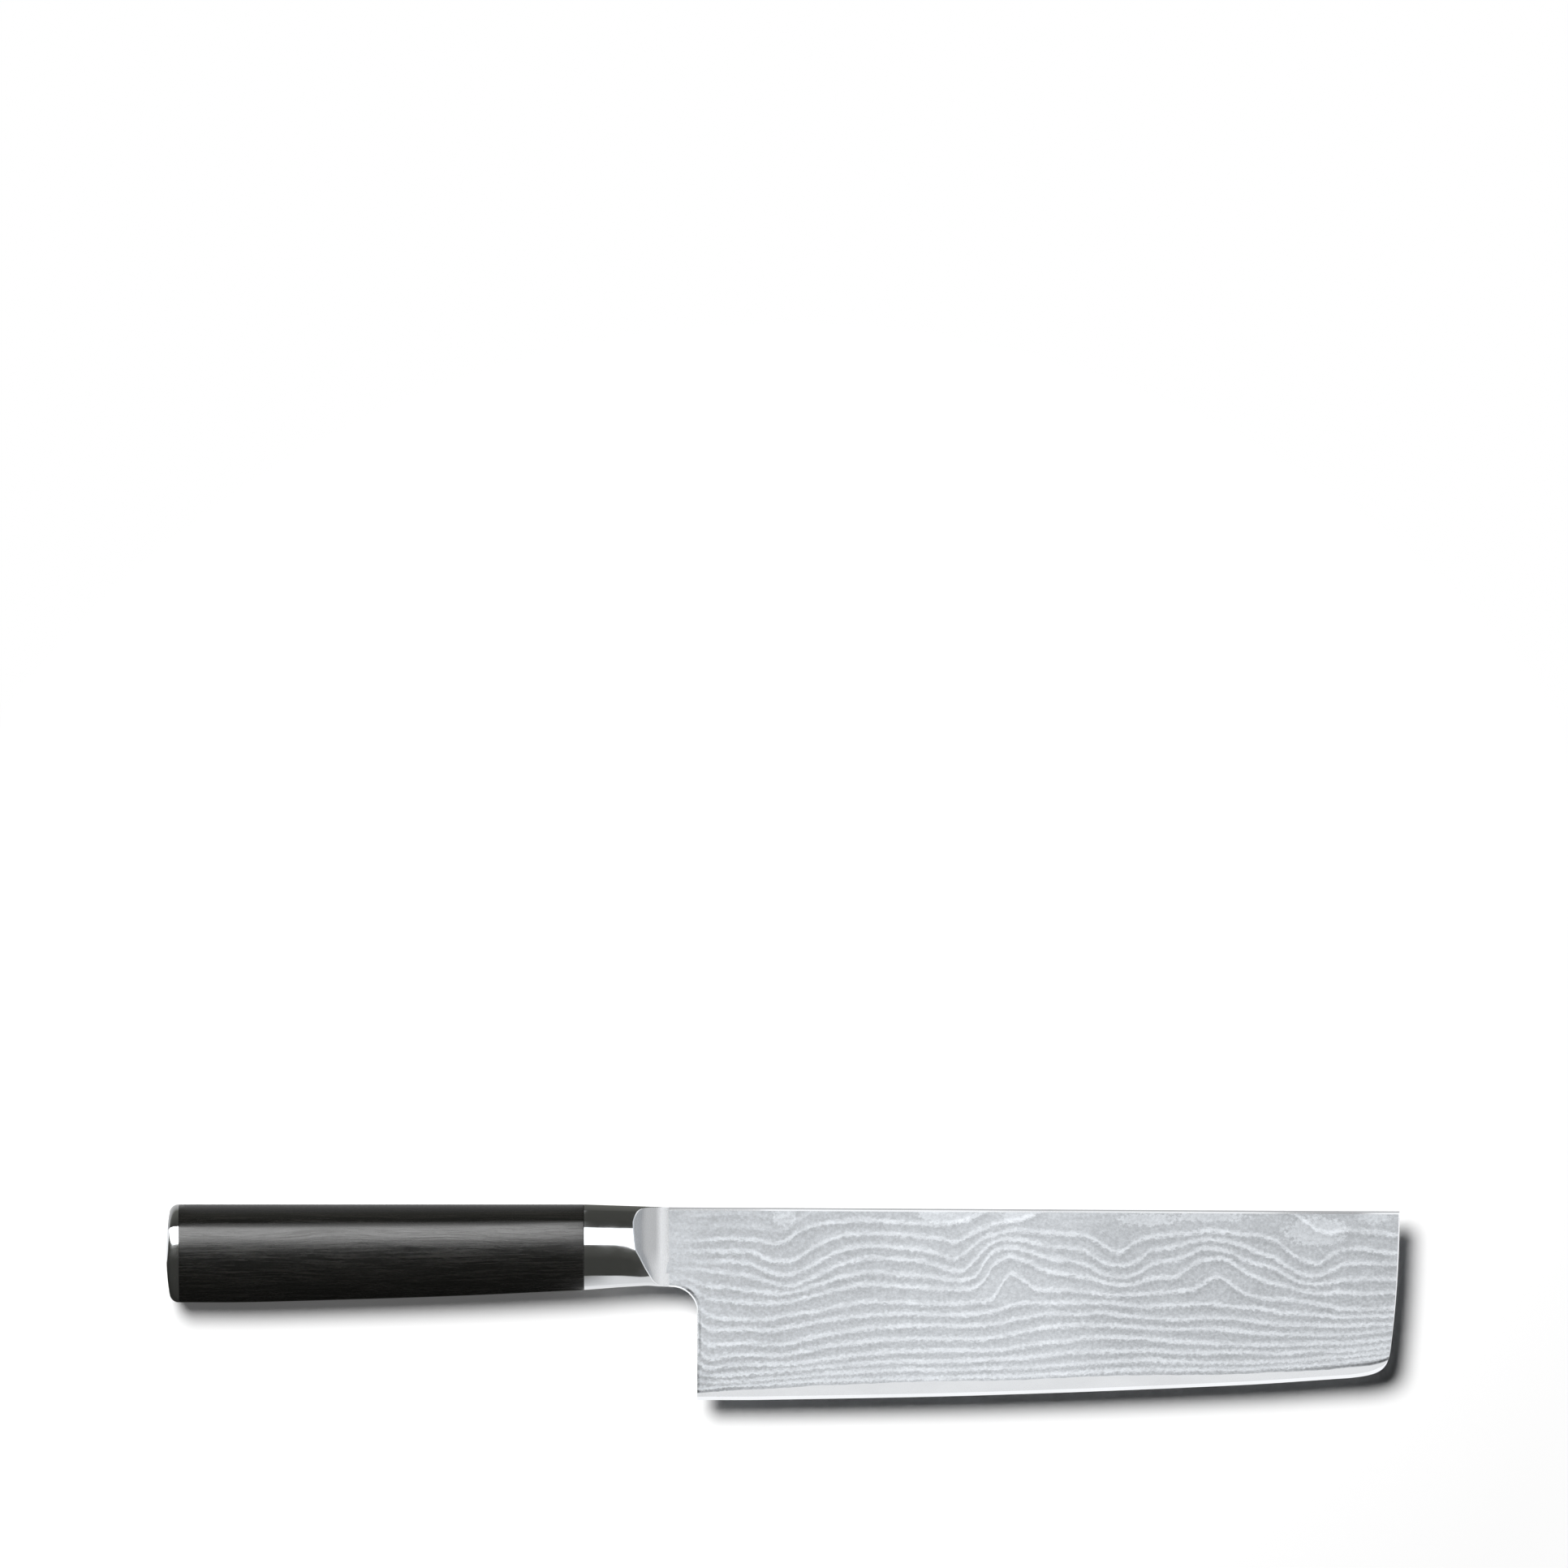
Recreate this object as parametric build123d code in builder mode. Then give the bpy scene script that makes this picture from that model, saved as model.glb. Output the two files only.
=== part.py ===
from build123d import *
import math
import os

# Nakiri kitchen knife, lying on its left side.
# +X points to the tip, +Y to the spine and +Z out of the blade's right face.
# The origin is the middle of the footprint, level with the lowest point of the handle.

# Blade: a thin hard core between two softer patterned claddings
blade_length = 165.0
heel_height = 44.9
spine_thickness = 2.0
spine_fall = 0.76
core_thickness = 0.64
core_band_height = 3.6
core_band_rise = 6.1
edge_land = 0.04
edge_angle = 16.0
corner_inset = 2.2
corner_rise = 11.4

# Cutting edge as shares of the blade's length and heel height, flat at the heel
edge_flat_share = 0.075
edge_length_shares = (0.396, 0.766, 0.928)
edge_rise_shares = (0.0234, 0.076, 0.114)
edge_end_slope_share = 0.1
corner_near_shares = (0.745, 0.115)
corner_far_shares = (0.92, 0.275)
tip_arc_middle_share = 0.25

# Neck between the heel and the bolster, and the stub tang behind it
neck_straight = 0.5
neck_radius = 6.1
neck_height = 18.3
tang_height = 12.0
tang_thickness = 1.5
stub_reach = 10.0

# Bolster: a D-shaped collar, hollowed on both sides down to the blade's faces
bolster_length = 20.0
bolster_front_height = 17.9
bolster_front_half = 6.9
ramp_radius = 9.2
web_length = 5.0
slot_clearance = 0.05

# Handle: D-shaped, with a ridge high on the right side
handle_length = 95.0
handle_butt_height = 23.0
handle_front_height = 20.1
handle_above_spine = 1.05
butt_half = 9.6
front_half = 7.7
handle_station_shares = (0.0, 0.15, 0.35, 0.68, 1.0)
handle_rise_shares = (0.0, 0.0, 0.16, 0.51, 1.0)

# D section as shares of its height and of its half thickness
top_width_share = 0.62
shoulder_drop_share = 0.06
shoulder_width_share = 0.86
ridge_drop_share = 0.19
cheek_drop_share = 0.5
cheek_width_share = 0.93
keel_width_share = 0.5
round_share = 0.5523

# Tang bar, welded to the stub, with a threaded stud at its rear end
bar_height = 8.0
bar_thickness = 4.0
bead_inset = 0.5
stud_diameter = 6.0
stud_relief = 3.0
stud_overrun = 1.3

# Hollows in the handle
pocket_clearance = 0.5
bore_diameter = 9.6
counterbore_diameter = 13.0
resin_gap = 0.02

# Nut and washer that pull the handle against the bolster
washer_diameter = 12.0
washer_thickness = 1.2
washer_clearance = 0.2
nut_across_flats = 10.0
nut_height = 5.0
nut_clearance = 0.03

# End cap, with a spigot and a locating pin
cap_length = 3.0
cap_dome = 1.0
cap_round_share = 0.85
cap_rim_angles = (0, 30, 60, 90)
spigot_length = 1.5
spigot_clearance = 0.05
cap_space = 0.6
pin_diameter = 2.0
pin_in_cap = 1.4
pin_in_handle = 6.0
pin_clearance = 0.02

# Places along the knife
neck_length = neck_straight + neck_radius
overall_length = cap_length + handle_length + bolster_length + neck_length + blade_length
tip_x = overall_length / 2
heel_x = tip_x - blade_length
neck_x = heel_x - neck_length
collar_x = neck_x - bolster_length
cap_x = collar_x - handle_length
butt_x = cap_x - cap_length
stub_x = collar_x - stub_reach

# Heights up the knife
overall_height = heel_height + handle_above_spine
top_y = overall_height / 2
spine_y = top_y - handle_above_spine
edge_y = spine_y - heel_height
spine_tip_y = spine_y - spine_fall
neck_top_y = spine_y + spine_fall * neck_length / blade_length
neck_bottom_y = neck_top_y - neck_height
tang_y = neck_bottom_y + neck_height / 2
band_y = edge_y + core_band_height
band_tip_y = band_y + core_band_rise

# Blade's middle plane and its tapering right face
mid_z = butt_half
core_half = core_thickness / 2
spine_half = spine_thickness / 2
mid_plane = Plane.XY.offset(mid_z)
band_heel = Vector(heel_x, band_y, mid_z + core_half)
band_tip = Vector(tip_x, band_tip_y, mid_z + core_half)
spine_heel = Vector(heel_x, spine_y, mid_z + spine_half)
along_band = band_tip - band_heel
right_face = Plane(origin=band_heel, x_dir=along_band, z_dir=along_band.cross(spine_heel - band_heel))


def blade_outline(plane, edge_raise):
    """Outline of blade, neck and stub tang, with the cutting edge raised for its bevel."""
    heel = (heel_x, edge_y + edge_raise)
    flat_end = (heel_x + blade_length * edge_flat_share, heel[1])
    edge = [flat_end]
    for length_share, rise_share in zip(edge_length_shares, edge_rise_shares):
        edge.append((heel_x + blade_length * length_share, heel[1] + heel_height * rise_share))
    start = edge[-1]
    corner = (tip_x - corner_inset, edge_y + corner_rise)
    run = corner[0] - start[0]
    rise = corner[1] - start[1]
    near = (start[0] + run * corner_near_shares[0], start[1] + rise * corner_near_shares[1])
    far = (start[0] + run * corner_far_shares[0], start[1] + rise * corner_far_shares[1])
    arc_middle = (tip_x - corner_inset * tip_arc_middle_share, (corner[1] + spine_tip_y) / 2)
    fillet_centre = Vector(heel_x - neck_radius, neck_bottom_y - neck_radius)
    fillet_middle = fillet_centre + Vector(neck_radius, 0).rotate(Axis.Z, 45)
    tang_low = tang_y - tang_height / 2
    tang_high = tang_y + tang_height / 2
    with BuildSketch(plane) as outline:
        with BuildLine():
            Line(heel, flat_end)
            Spline(*edge, tangents=[(1, 0), (1, edge_end_slope_share)])
            Bezier(start, near, far, corner)
            ThreePointArc(corner, arc_middle, (tip_x, spine_tip_y))
            Polyline(
                (tip_x, spine_tip_y),
                (neck_x, neck_top_y),
                (neck_x, tang_high),
                (stub_x, tang_high),
                (stub_x, tang_low),
                (neck_x, tang_low),
                (neck_x, neck_bottom_y),
                (fillet_centre.X, neck_bottom_y),
            )
            ThreePointArc((fillet_centre.X, neck_bottom_y), fillet_middle, (heel_x, fillet_centre.Y))
            Line((heel_x, fillet_centre.Y), heel)
        make_face()
    return outline.sketch


def handle_section(station, top, bottom, half):
    """D section: half an ellipse on the left, a ridge high on the right."""
    height = top - bottom
    middle = (top + bottom) / 2
    swell = height / 2 * round_share
    ridge = (top - height * ridge_drop_share, half)
    shoulder = (top - height * shoulder_drop_share, half * shoulder_width_share)
    cheek = (top - height * cheek_drop_share, half * cheek_width_share)
    plane = Plane(origin=(station, 0, mid_z), x_dir=(0, 1, 0), z_dir=(1, 0, 0))
    with BuildSketch(plane) as section:
        with BuildLine():
            Bezier((top, 0), (top, half * top_width_share), shoulder, ridge)
            Bezier(ridge, cheek, (bottom, half * keel_width_share), (bottom, 0))
            Bezier((bottom, 0), (bottom, -half * round_share), (middle - swell, -half), (middle, -half))
            Bezier((middle, -half), (middle + swell, -half), (top, -half * round_share), (top, 0))
        make_face()
    return section.sketch


def handle_station(station_share, rise_share):
    """Section of the handle at a share of its length, measured from the end cap."""
    station = cap_x + handle_length * station_share
    height = handle_butt_height + (handle_front_height - handle_butt_height) * rise_share
    half = butt_half + (front_half - butt_half) * station_share
    return handle_section(station, top_y, top_y - height, half)


def cross_plane(station):
    """Plane square to the knife's length, centred on the tang."""
    return Plane(origin=(station, tang_y, mid_z), x_dir=(0, 1, 0), z_dir=(1, 0, 0))


# Core steel: hard centre layer, with the cutting edge and the stub tang.
# Its right half is built up in layers and mirrored to the left.
land_half = edge_land / 2
bevel_rise = (core_half - land_half) / math.tan(math.radians(edge_angle))
with BuildPart() as core_steel:
    extrude(blade_outline(mid_plane, 0), amount=land_half)
    loft(
        sections=[
            blade_outline(mid_plane.offset(land_half), 0),
            blade_outline(mid_plane.offset(core_half), bevel_rise),
        ],
        ruled=True,
    )
    split(bisect_by=right_face, keep=Keep.BOTTOM)
    mirror(about=mid_plane)

# Claddings: softer patterned layers, each ground to a wedge that runs out above the edge.
# Behind the neck they are ground down to the parallel stub tang.
tang_half = tang_thickness / 2
with BuildPart() as cladding_right:
    extrude(blade_outline(mid_plane.offset(core_half), 0), amount=spine_thickness)
    split(bisect_by=right_face, keep=Keep.BOTTOM)
    with BuildSketch(mid_plane.offset(tang_half)):
        with Locations((neck_x, tang_y)):
            Rectangle(bolster_length + stub_reach, tang_height, align=(Align.MAX, Align.CENTER))
    extrude(amount=spine_thickness, mode=Mode.SUBTRACT)

with BuildPart() as cladding_left:
    add(mirror(cladding_right.part, about=mid_plane))

# Bolster: the cutters for its two hollow ramps end flush with the blade's faces
ramp_axis = right_face.y_dir
ramp_foot = right_face.to_local_coords(Vector(neck_x, tang_y, mid_z))
ramp_centre = right_face.from_local_coords(Vector(ramp_foot.X, ramp_foot.Y, ramp_radius))
with BuildPart() as ramp_cutter:
    with BuildSketch(Plane(origin=ramp_centre, x_dir=right_face.x_dir, z_dir=ramp_axis)):
        Circle(ramp_radius)
    extrude(amount=heel_height, both=True)

# Lower web: carries the blade's faces below the ramps, as tall as the neck
with BuildPart() as lower_web:
    with BuildSketch(mid_plane):
        with Locations((neck_x, neck_bottom_y)):
            Rectangle(web_length, neck_height / 2, align=(Align.MAX, Align.MIN))
    extrude(amount=spine_thickness)
    split(bisect_by=right_face, keep=Keep.BOTTOM)
    mirror(about=mid_plane)

with BuildPart() as bolster:
    loft(
        sections=[
            handle_section(collar_x, top_y, top_y - handle_front_height, front_half),
            handle_section(neck_x, neck_top_y, neck_top_y - bolster_front_height, bolster_front_half),
        ],
        ruled=True,
    )
    add(ramp_cutter.part, mode=Mode.SUBTRACT)
    add(mirror(ramp_cutter.part, about=mid_plane), mode=Mode.SUBTRACT)
    add(lower_web.part)
    with BuildSketch(cross_plane(collar_x)):
        Rectangle(tang_height + 2 * slot_clearance, tang_thickness + 2 * slot_clearance)
    extrude(amount=bolster_length, mode=Mode.SUBTRACT)

# Tang bar: lengthens the stub through the handle and ends in the threaded stud
counterbore_depth = washer_thickness + nut_height + stud_overrun + cap_space + spigot_length
seat_x = cap_x + counterbore_depth
bar_x = seat_x + stud_relief
nut_x = seat_x - washer_thickness - nut_height
with BuildPart() as tang_bar:
    with BuildSketch(cross_plane(bar_x)):
        Rectangle(bar_height, bar_thickness)
    extrude(amount=stub_x - bar_x)
    with BuildSketch(cross_plane(nut_x - stud_overrun)):
        Circle(stud_diameter / 2)
    extrude(amount=bar_x - nut_x + stud_overrun)

# Tang weld: a fillet bead on each side, in the corner between stub and bar
bar_half = bar_thickness / 2
bead_leg = bar_half - tang_half
with BuildPart() as tang_weld:
    with BuildSketch(Plane(origin=(stub_x, tang_y, mid_z), x_dir=(1, 0, 0), z_dir=(0, -1, 0))):
        Polygon((0, tang_half), (bead_leg, tang_half), (0, bar_half), align=None)
    extrude(amount=bar_height / 2 - bead_inset, both=True)
    mirror(about=mid_plane)

# Handle: stained laminated wood with a pocket, a bore, a counterbore and a pin hole
pin_y = (tang_y - counterbore_diameter / 2 + top_y - handle_butt_height) / 2
pin_plane = Plane(origin=(cap_x, pin_y, mid_z), x_dir=(0, 1, 0), z_dir=(1, 0, 0))
pocket_height = tang_height + 2 * pocket_clearance
pocket_width = bar_thickness + 2 * pocket_clearance
with BuildPart() as handle:
    loft(sections=[handle_station(*shares) for shares in zip(handle_station_shares, handle_rise_shares)])
    with BuildSketch(cross_plane(stub_x)):
        Rectangle(pocket_height, pocket_width)
    extrude(amount=stub_reach, mode=Mode.SUBTRACT)
    with BuildSketch(cross_plane(cap_x)):
        Circle(bore_diameter / 2)
    extrude(amount=stub_x - cap_x, mode=Mode.SUBTRACT)
    with BuildSketch(cross_plane(cap_x)):
        Circle(counterbore_diameter / 2)
    extrude(amount=counterbore_depth, mode=Mode.SUBTRACT)
    with BuildSketch(pin_plane):
        Circle(pin_diameter / 2 + pin_clearance)
    extrude(amount=pin_in_handle, mode=Mode.SUBTRACT)

# Bedding resin: fills pocket and bore round the stub, the beads and the bar
with BuildPart() as bedding_resin:
    with BuildSketch(cross_plane(stub_x)):
        Rectangle(pocket_height - 2 * resin_gap, pocket_width - 2 * resin_gap)
    extrude(amount=stub_reach - resin_gap)
    with BuildSketch(cross_plane(bar_x)):
        Circle(bore_diameter / 2 - resin_gap)
    extrude(amount=stub_x - bar_x)
    with BuildSketch(cross_plane(stub_x)):
        Rectangle(tang_height + 2 * resin_gap, tang_thickness + 2 * resin_gap)
    extrude(amount=stub_reach, mode=Mode.SUBTRACT)
    with BuildSketch(cross_plane(bar_x)):
        Rectangle(bar_height + 2 * resin_gap, bar_thickness + 2 * resin_gap)
    extrude(amount=stub_x - bar_x + bead_leg + resin_gap, mode=Mode.SUBTRACT)

# Washer and nut: seated in the counterbore, under the end cap
with BuildPart() as washer:
    with BuildSketch(cross_plane(seat_x - washer_thickness)):
        Circle(washer_diameter / 2)
        Circle(stud_diameter / 2 + washer_clearance, mode=Mode.SUBTRACT)
    extrude(amount=washer_thickness)

with BuildPart() as nut:
    with BuildSketch(cross_plane(nut_x)):
        RegularPolygon(nut_across_flats / 2, side_count=6, major_radius=False)
        Circle(stud_diameter / 2 + nut_clearance, mode=Mode.SUBTRACT)
    extrude(amount=nut_height)

# End cap: slightly domed and rounded at its rim, with the spigot and the blind pin hole
half_height = handle_butt_height / 2
dome_radius = (half_height**2 + cap_dome**2) / (2 * cap_dome)
rim_radius = (cap_length - cap_dome) * cap_round_share


def cap_section(angle):
    """Section of the cap where its rounded rim has turned by an angle from the rear face."""
    turn = math.radians(angle)
    inset = rim_radius * (1 - math.sin(turn))
    station = butt_x + cap_dome + rim_radius * (1 - math.cos(turn))
    bottom = top_y - handle_butt_height + inset
    return handle_section(station, top_y - inset, bottom, butt_half - inset)


with BuildPart() as end_cap:
    extrude(cap_section(0), amount=-cap_dome)
    loft(sections=[cap_section(angle) for angle in cap_rim_angles])
    extrude(cap_section(cap_rim_angles[-1]), amount=cap_length - cap_dome - rim_radius)
    with Locations((butt_x + dome_radius, top_y - half_height, mid_z)):
        Sphere(dome_radius, mode=Mode.INTERSECT)
    with BuildSketch(cross_plane(cap_x)):
        Circle(counterbore_diameter / 2 - spigot_clearance)
    extrude(amount=spigot_length)
    with BuildSketch(pin_plane):
        Circle(pin_diameter / 2 + pin_clearance)
    extrude(amount=-pin_in_cap, mode=Mode.SUBTRACT)

# Cap pin: keeps the end cap in line while it is glued and ground flush
with BuildPart() as cap_pin:
    with BuildSketch(pin_plane.offset(-pin_in_cap)):
        Circle(pin_diameter / 2)
    extrude(amount=pin_in_cap + pin_in_handle)

pieces = {
    "core_steel": core_steel,
    "cladding_right": cladding_right,
    "cladding_left": cladding_left,
    "bolster": bolster,
    "tang_bar": tang_bar,
    "tang_weld": tang_weld,
    "handle": handle,
    "bedding_resin": bedding_resin,
    "washer": washer,
    "nut": nut,
    "end_cap": end_cap,
    "cap_pin": cap_pin,
}
os.makedirs("parts", exist_ok=True)
for name, piece in pieces.items():
    piece.part.label = name
    export_step(piece.part, f"parts/{name}.step")
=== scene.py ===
import math

import bmesh
import bpy
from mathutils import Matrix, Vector


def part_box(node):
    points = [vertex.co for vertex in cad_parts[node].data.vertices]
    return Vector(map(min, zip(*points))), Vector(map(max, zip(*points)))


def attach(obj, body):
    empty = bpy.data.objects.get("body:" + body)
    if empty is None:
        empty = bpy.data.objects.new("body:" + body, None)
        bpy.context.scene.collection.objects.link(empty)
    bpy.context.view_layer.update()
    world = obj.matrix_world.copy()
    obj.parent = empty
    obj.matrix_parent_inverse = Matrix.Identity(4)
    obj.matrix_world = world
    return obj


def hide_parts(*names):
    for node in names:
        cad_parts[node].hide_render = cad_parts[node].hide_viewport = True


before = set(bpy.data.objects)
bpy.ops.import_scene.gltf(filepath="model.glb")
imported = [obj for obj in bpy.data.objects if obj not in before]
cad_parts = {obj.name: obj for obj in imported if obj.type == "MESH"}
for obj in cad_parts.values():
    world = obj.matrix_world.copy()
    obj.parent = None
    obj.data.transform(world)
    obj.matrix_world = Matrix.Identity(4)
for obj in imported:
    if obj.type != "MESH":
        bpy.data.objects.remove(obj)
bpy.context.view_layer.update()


# Core steel.
# The thin hard middle layer of the blade, forge-welded between the two claddings.
# It stands bare below them, where it is ground on a stone to the cutting edge.
mm = 0.001
blade_length = 165.0 * mm
spine_fall = 0.93 * mm
spine_crown = 0.35 * mm
spine_half = 1.0 * mm
neck_height = 18.3 * mm
neck_radius = 6.1 * mm
tang_height = 12.0 * mm
edge_land = 0.04 * mm
edge_bevel = 0.8 * mm
corner_inset = 2.2 * mm
corner_rise = 11.4 * mm
band_height = 2.45 * mm
band_rise = 5.6 * mm
picture_scale = 5.245 / mm
picture_middle = (965.0, 1604.5)
forged_places = (
    (850, 1717), (866, 1716), (881, 1714.8), (896, 1713.5), (911, 1712.8), (941, 1711.3), (971, 1709.8),
    (1001, 1707.2), (1046, 1705.8), (1106, 1703.2), (1166, 1701.5), (1241, 1700.8), (1301, 1698),
    (1361, 1695.3), (1421, 1694.2), (1481, 1694), (1526, 1693), (1571, 1690.5), (1616, 1689),
    (1661, 1685.2), (1691, 1682), (1706, 1678), (1722, 1669),
)
forged_waves = ((0.04, 0.71, 0.0), (0.03, 1.93, 1.1))
wave_fade_heel, wave_fade_tip = 6.0, 8.0
edge_flat_share = 0.075
edge_rises = ((0.396, 0.0234), (0.766, 0.076), (0.928, 0.114))
corner_near_shares = (0.745, 0.115)
corner_far_shares = (0.92, 0.275)
edge_lead = 0.05
core_tuck, tuck_rise = 0.04 * mm, 0.15 * mm
edge_steps, corner_steps, band_steps, front_steps, fillet_steps = 90, 30, 220, 30, 24
bevel_fade_steps, halvings, settling_rounds = 12, 30, 12
weld_distance = 0.0005 * mm

core_low, core_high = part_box("core_steel")
tip_x = core_high.x
stub_x = core_low.x
neck_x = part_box("bolster")[1].x
heel_x = tip_x - blade_length
edge_y = core_low.y
middle_z = (core_low.z + core_high.z) / 2
core_half = (core_high.z - core_low.z) / 2
neck_bottom_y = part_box("cladding_right")[1].y - neck_height
neck_top_y = neck_bottom_y + neck_height + spine_crown
fillet_y = neck_bottom_y - neck_radius
tang_y = neck_bottom_y + neck_height / 2
spine_y = neck_top_y - spine_fall * (heel_x - neck_x) / blade_length
band_y = edge_y + band_height
heel_height = spine_y - edge_y
taper = (spine_half - core_half) / (spine_y - band_y)


def mix(first, second, share):
    """Number or vector part of the way from one to another."""
    return first + (second - first) * share


def spine_line(x):
    """Height of the spine, which falls slightly towards the tip."""
    return spine_y - spine_fall * (x - heel_x) / blade_length


def band_line(x):
    """Straight line where the claddings run out above the edge."""
    return band_y + band_rise * (x - heel_x) / blade_length


def face_depth(x, y):
    """Half thickness of the blade between its flat tapering faces."""
    return core_half + taper * (y - band_line(x))


def bezier(points, t):
    """Point on a cubic Bezier curve."""
    weights = ((1 - t) ** 3, 3 * t * (1 - t) ** 2, 3 * t * t * (1 - t), t ** 3)
    return Vector([sum(w * p[axis] for w, p in zip(weights, points)) for axis in range(2)])


def smooth_value(points, at):
    """Value on a smooth curve through (place, value) points."""
    places, values = zip(*points)
    index = 0
    while index < len(places) - 2 and at > places[index + 1]:
        index += 1
    slopes = []
    for k in (index, index + 1):
        low, high = max(k - 1, 0), min(k + 1, len(places) - 1)
        slopes.append((values[high] - values[low]) / (places[high] - places[low]))
    span = places[index + 1] - places[index]
    t = min(max((at - places[index]) / span, 0.0), 1.0)
    start, end = values[index], values[index + 1]
    pull = (1 - t) * (slopes[0] * span - end + start) + t * (end - start - slopes[1] * span)
    return mix(start, end, t) + t * (1 - t) * pull


def in_picture(x, y):
    """Point of the knife in pixels of the picture."""
    return picture_middle[0] + x * picture_scale, picture_middle[1] - y * picture_scale


def traced_height(points, x):
    """Height at a station of a line that is given in pixels of the picture."""
    return (picture_middle[1] - smooth_value(points, in_picture(x, 0.0)[0])) / picture_scale


def forged_band(x):
    """The line where the claddings really end, as forging leaves it, not quite straight."""
    along = (x - heel_x) / mm
    wave = sum(height * math.sin(along * rate + shift) for height, rate, shift in forged_waves)
    fade = min(1.0, along / wave_fade_heel, (blade_length / mm - along) / wave_fade_tip)
    return traced_height(forged_places, x) + wave * mm * max(0.0, fade)


edge_share, rise_share = edge_rises[-1]
corner_start = Vector((heel_x + blade_length * edge_share, edge_y + heel_height * rise_share))
corner_end = Vector((tip_x - corner_inset, edge_y + corner_rise))
corner_run, corner_climb = corner_end - corner_start
corner = (
    corner_start,
    corner_start + Vector((corner_run * corner_near_shares[0], corner_climb * corner_near_shares[1])),
    corner_start + Vector((corner_run * corner_far_shares[0], corner_climb * corner_far_shares[1])),
    corner_end,
)


def turning_point(low, high, before):
    """Place between two others up to which a test holds."""
    for step in range(halvings):
        middle = (low + high) / 2
        low, high = (middle, high) if before(middle) else (low, middle)
    return low


def corner_place(y):
    """Place on the rounded lower corner at a height, as a share of its curve."""
    return turning_point(0.0, 1.0, lambda share: bezier(corner, share).y < y)


def front_edge(y):
    """The blunt front of the blade: a long shallow arc that runs into the rounded corner."""
    if y < corner_end.y:
        return bezier(corner, corner_place(y)).x
    fall = (spine_line(tip_x) - y) / (spine_line(tip_x) - corner_end.y)
    return tip_x - corner_inset * fall * fall


band_end = Vector((tip_x, forged_band(tip_x)))
for step in range(settling_rounds):
    band_end = Vector((front_edge(band_end.y), mix(band_end.y, forged_band(band_end.x), 0.5)))
edge_curve = ((edge_flat_share - edge_lead, 0.0), (edge_flat_share, 0.0), *edge_rises)
edge_points = []
for k in range(edge_steps):
    share = edge_share * k / edge_steps
    rise = smooth_value(edge_curve, share) if share > edge_flat_share else 0.0
    edge_points.append(Vector((heel_x + blade_length * share, edge_y + heel_height * rise)))
for k in range(corner_steps + 1):
    edge_points.append(bezier(corner, corner_place(band_end.y) * k / corner_steps))
band_points = []
for k in range(band_steps):
    x = mix(heel_x, band_end.x, k / band_steps)
    band_points.append(Vector((x, forged_band(x))))
band_points.append(edge_points[-1])


def upper_outline():
    """Outline above the band: the front, the spine, the stub tang, the neck and the heel."""
    points = []
    for k in range(1, front_steps + 1):
        y = mix(band_end.y, spine_line(tip_x), k / front_steps)
        points.append(Vector((front_edge(y), y)))
    tang_top, tang_bottom = tang_y + tang_height / 2, tang_y - tang_height / 2
    points += [Vector((neck_x, neck_top_y)), Vector((neck_x, tang_top)), Vector((stub_x, tang_top))]
    points += [Vector((stub_x, tang_bottom)), Vector((neck_x, tang_bottom)), Vector((neck_x, neck_bottom_y))]
    for k in range(fillet_steps + 1):
        turn = math.radians(90 - 90 * k / fillet_steps)
        x = heel_x - neck_radius + neck_radius * math.cos(turn)
        points.append(Vector((x, fillet_y + neck_radius * math.sin(turn))))
    return points


def strip(mesh, first, second):
    """Row of faces between two equally long rows of vertices."""
    faces = []
    for corners in zip(first, first[1:], second[1:], second):
        corners = list(dict.fromkeys(corners))
        if len(corners) > 2:
            faces.append(mesh.faces.new(corners))
    return faces


def smooth_between(data, sharp_angle):
    """Shades a mesh smooth between its sharp edges."""
    data.polygons.foreach_set("use_smooth", [True] * len(data.polygons))
    data.set_sharp_from_angle(angle=math.radians(sharp_angle))


def placed(name, data):
    """Object in the scene that shows a mesh, a lamp or a camera."""
    thing = bpy.data.objects.new(name, data)
    bpy.context.scene.collection.objects.link(thing)
    return thing


def new_piece(name, mesh, materials, sharp_angle=35):
    """Object that carries a finished mesh."""
    bmesh.ops.remove_doubles(mesh, verts=mesh.verts, dist=weld_distance)
    bmesh.ops.recalc_face_normals(mesh, faces=mesh.faces)
    data = bpy.data.meshes.new(name)
    mesh.to_mesh(data)
    mesh.free()
    for material in materials:
        data.materials.append(material)
    smooth_between(data, sharp_angle)
    return placed(name, data)


def new_finish(name, color, roughness, metallic=1.0):
    """Material with its plain values on the shader itself."""
    finish = bpy.data.materials.new(name)
    finish.use_nodes = True
    shader = finish.node_tree.nodes["Principled BSDF"]
    shader.inputs["Base Color"].default_value = (*color, 1)
    shader.inputs["Roughness"].default_value = roughness
    shader.inputs["Metallic"].default_value = metallic
    return finish, finish.node_tree, shader


def maths(tree, operation, *values):
    """Math node, fed by other nodes or by plain numbers."""
    node = tree.nodes.new("ShaderNodeMath")
    node.operation = operation
    for socket, value in zip(node.inputs, values):
        if isinstance(value, (int, float)):
            socket.default_value = value
        else:
            tree.links.new(value, socket)
    return node.outputs[0]


def times(tree, first, second, *added):
    """First value times the second, plus a third where one is given."""
    return maths(tree, "MULTIPLY_ADD" if added else "MULTIPLY", first, second, *added)


def millimetres(tree):
    """X, Y and Z of the surface point, in millimetres."""
    place = tree.nodes.new("ShaderNodeTexCoord")
    parts = tree.nodes.new("ShaderNodeSeparateXYZ")
    tree.links.new(place.outputs["Object"], parts.inputs[0])
    return [times(tree, axis, 1 / mm) for axis in parts.outputs]


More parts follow.
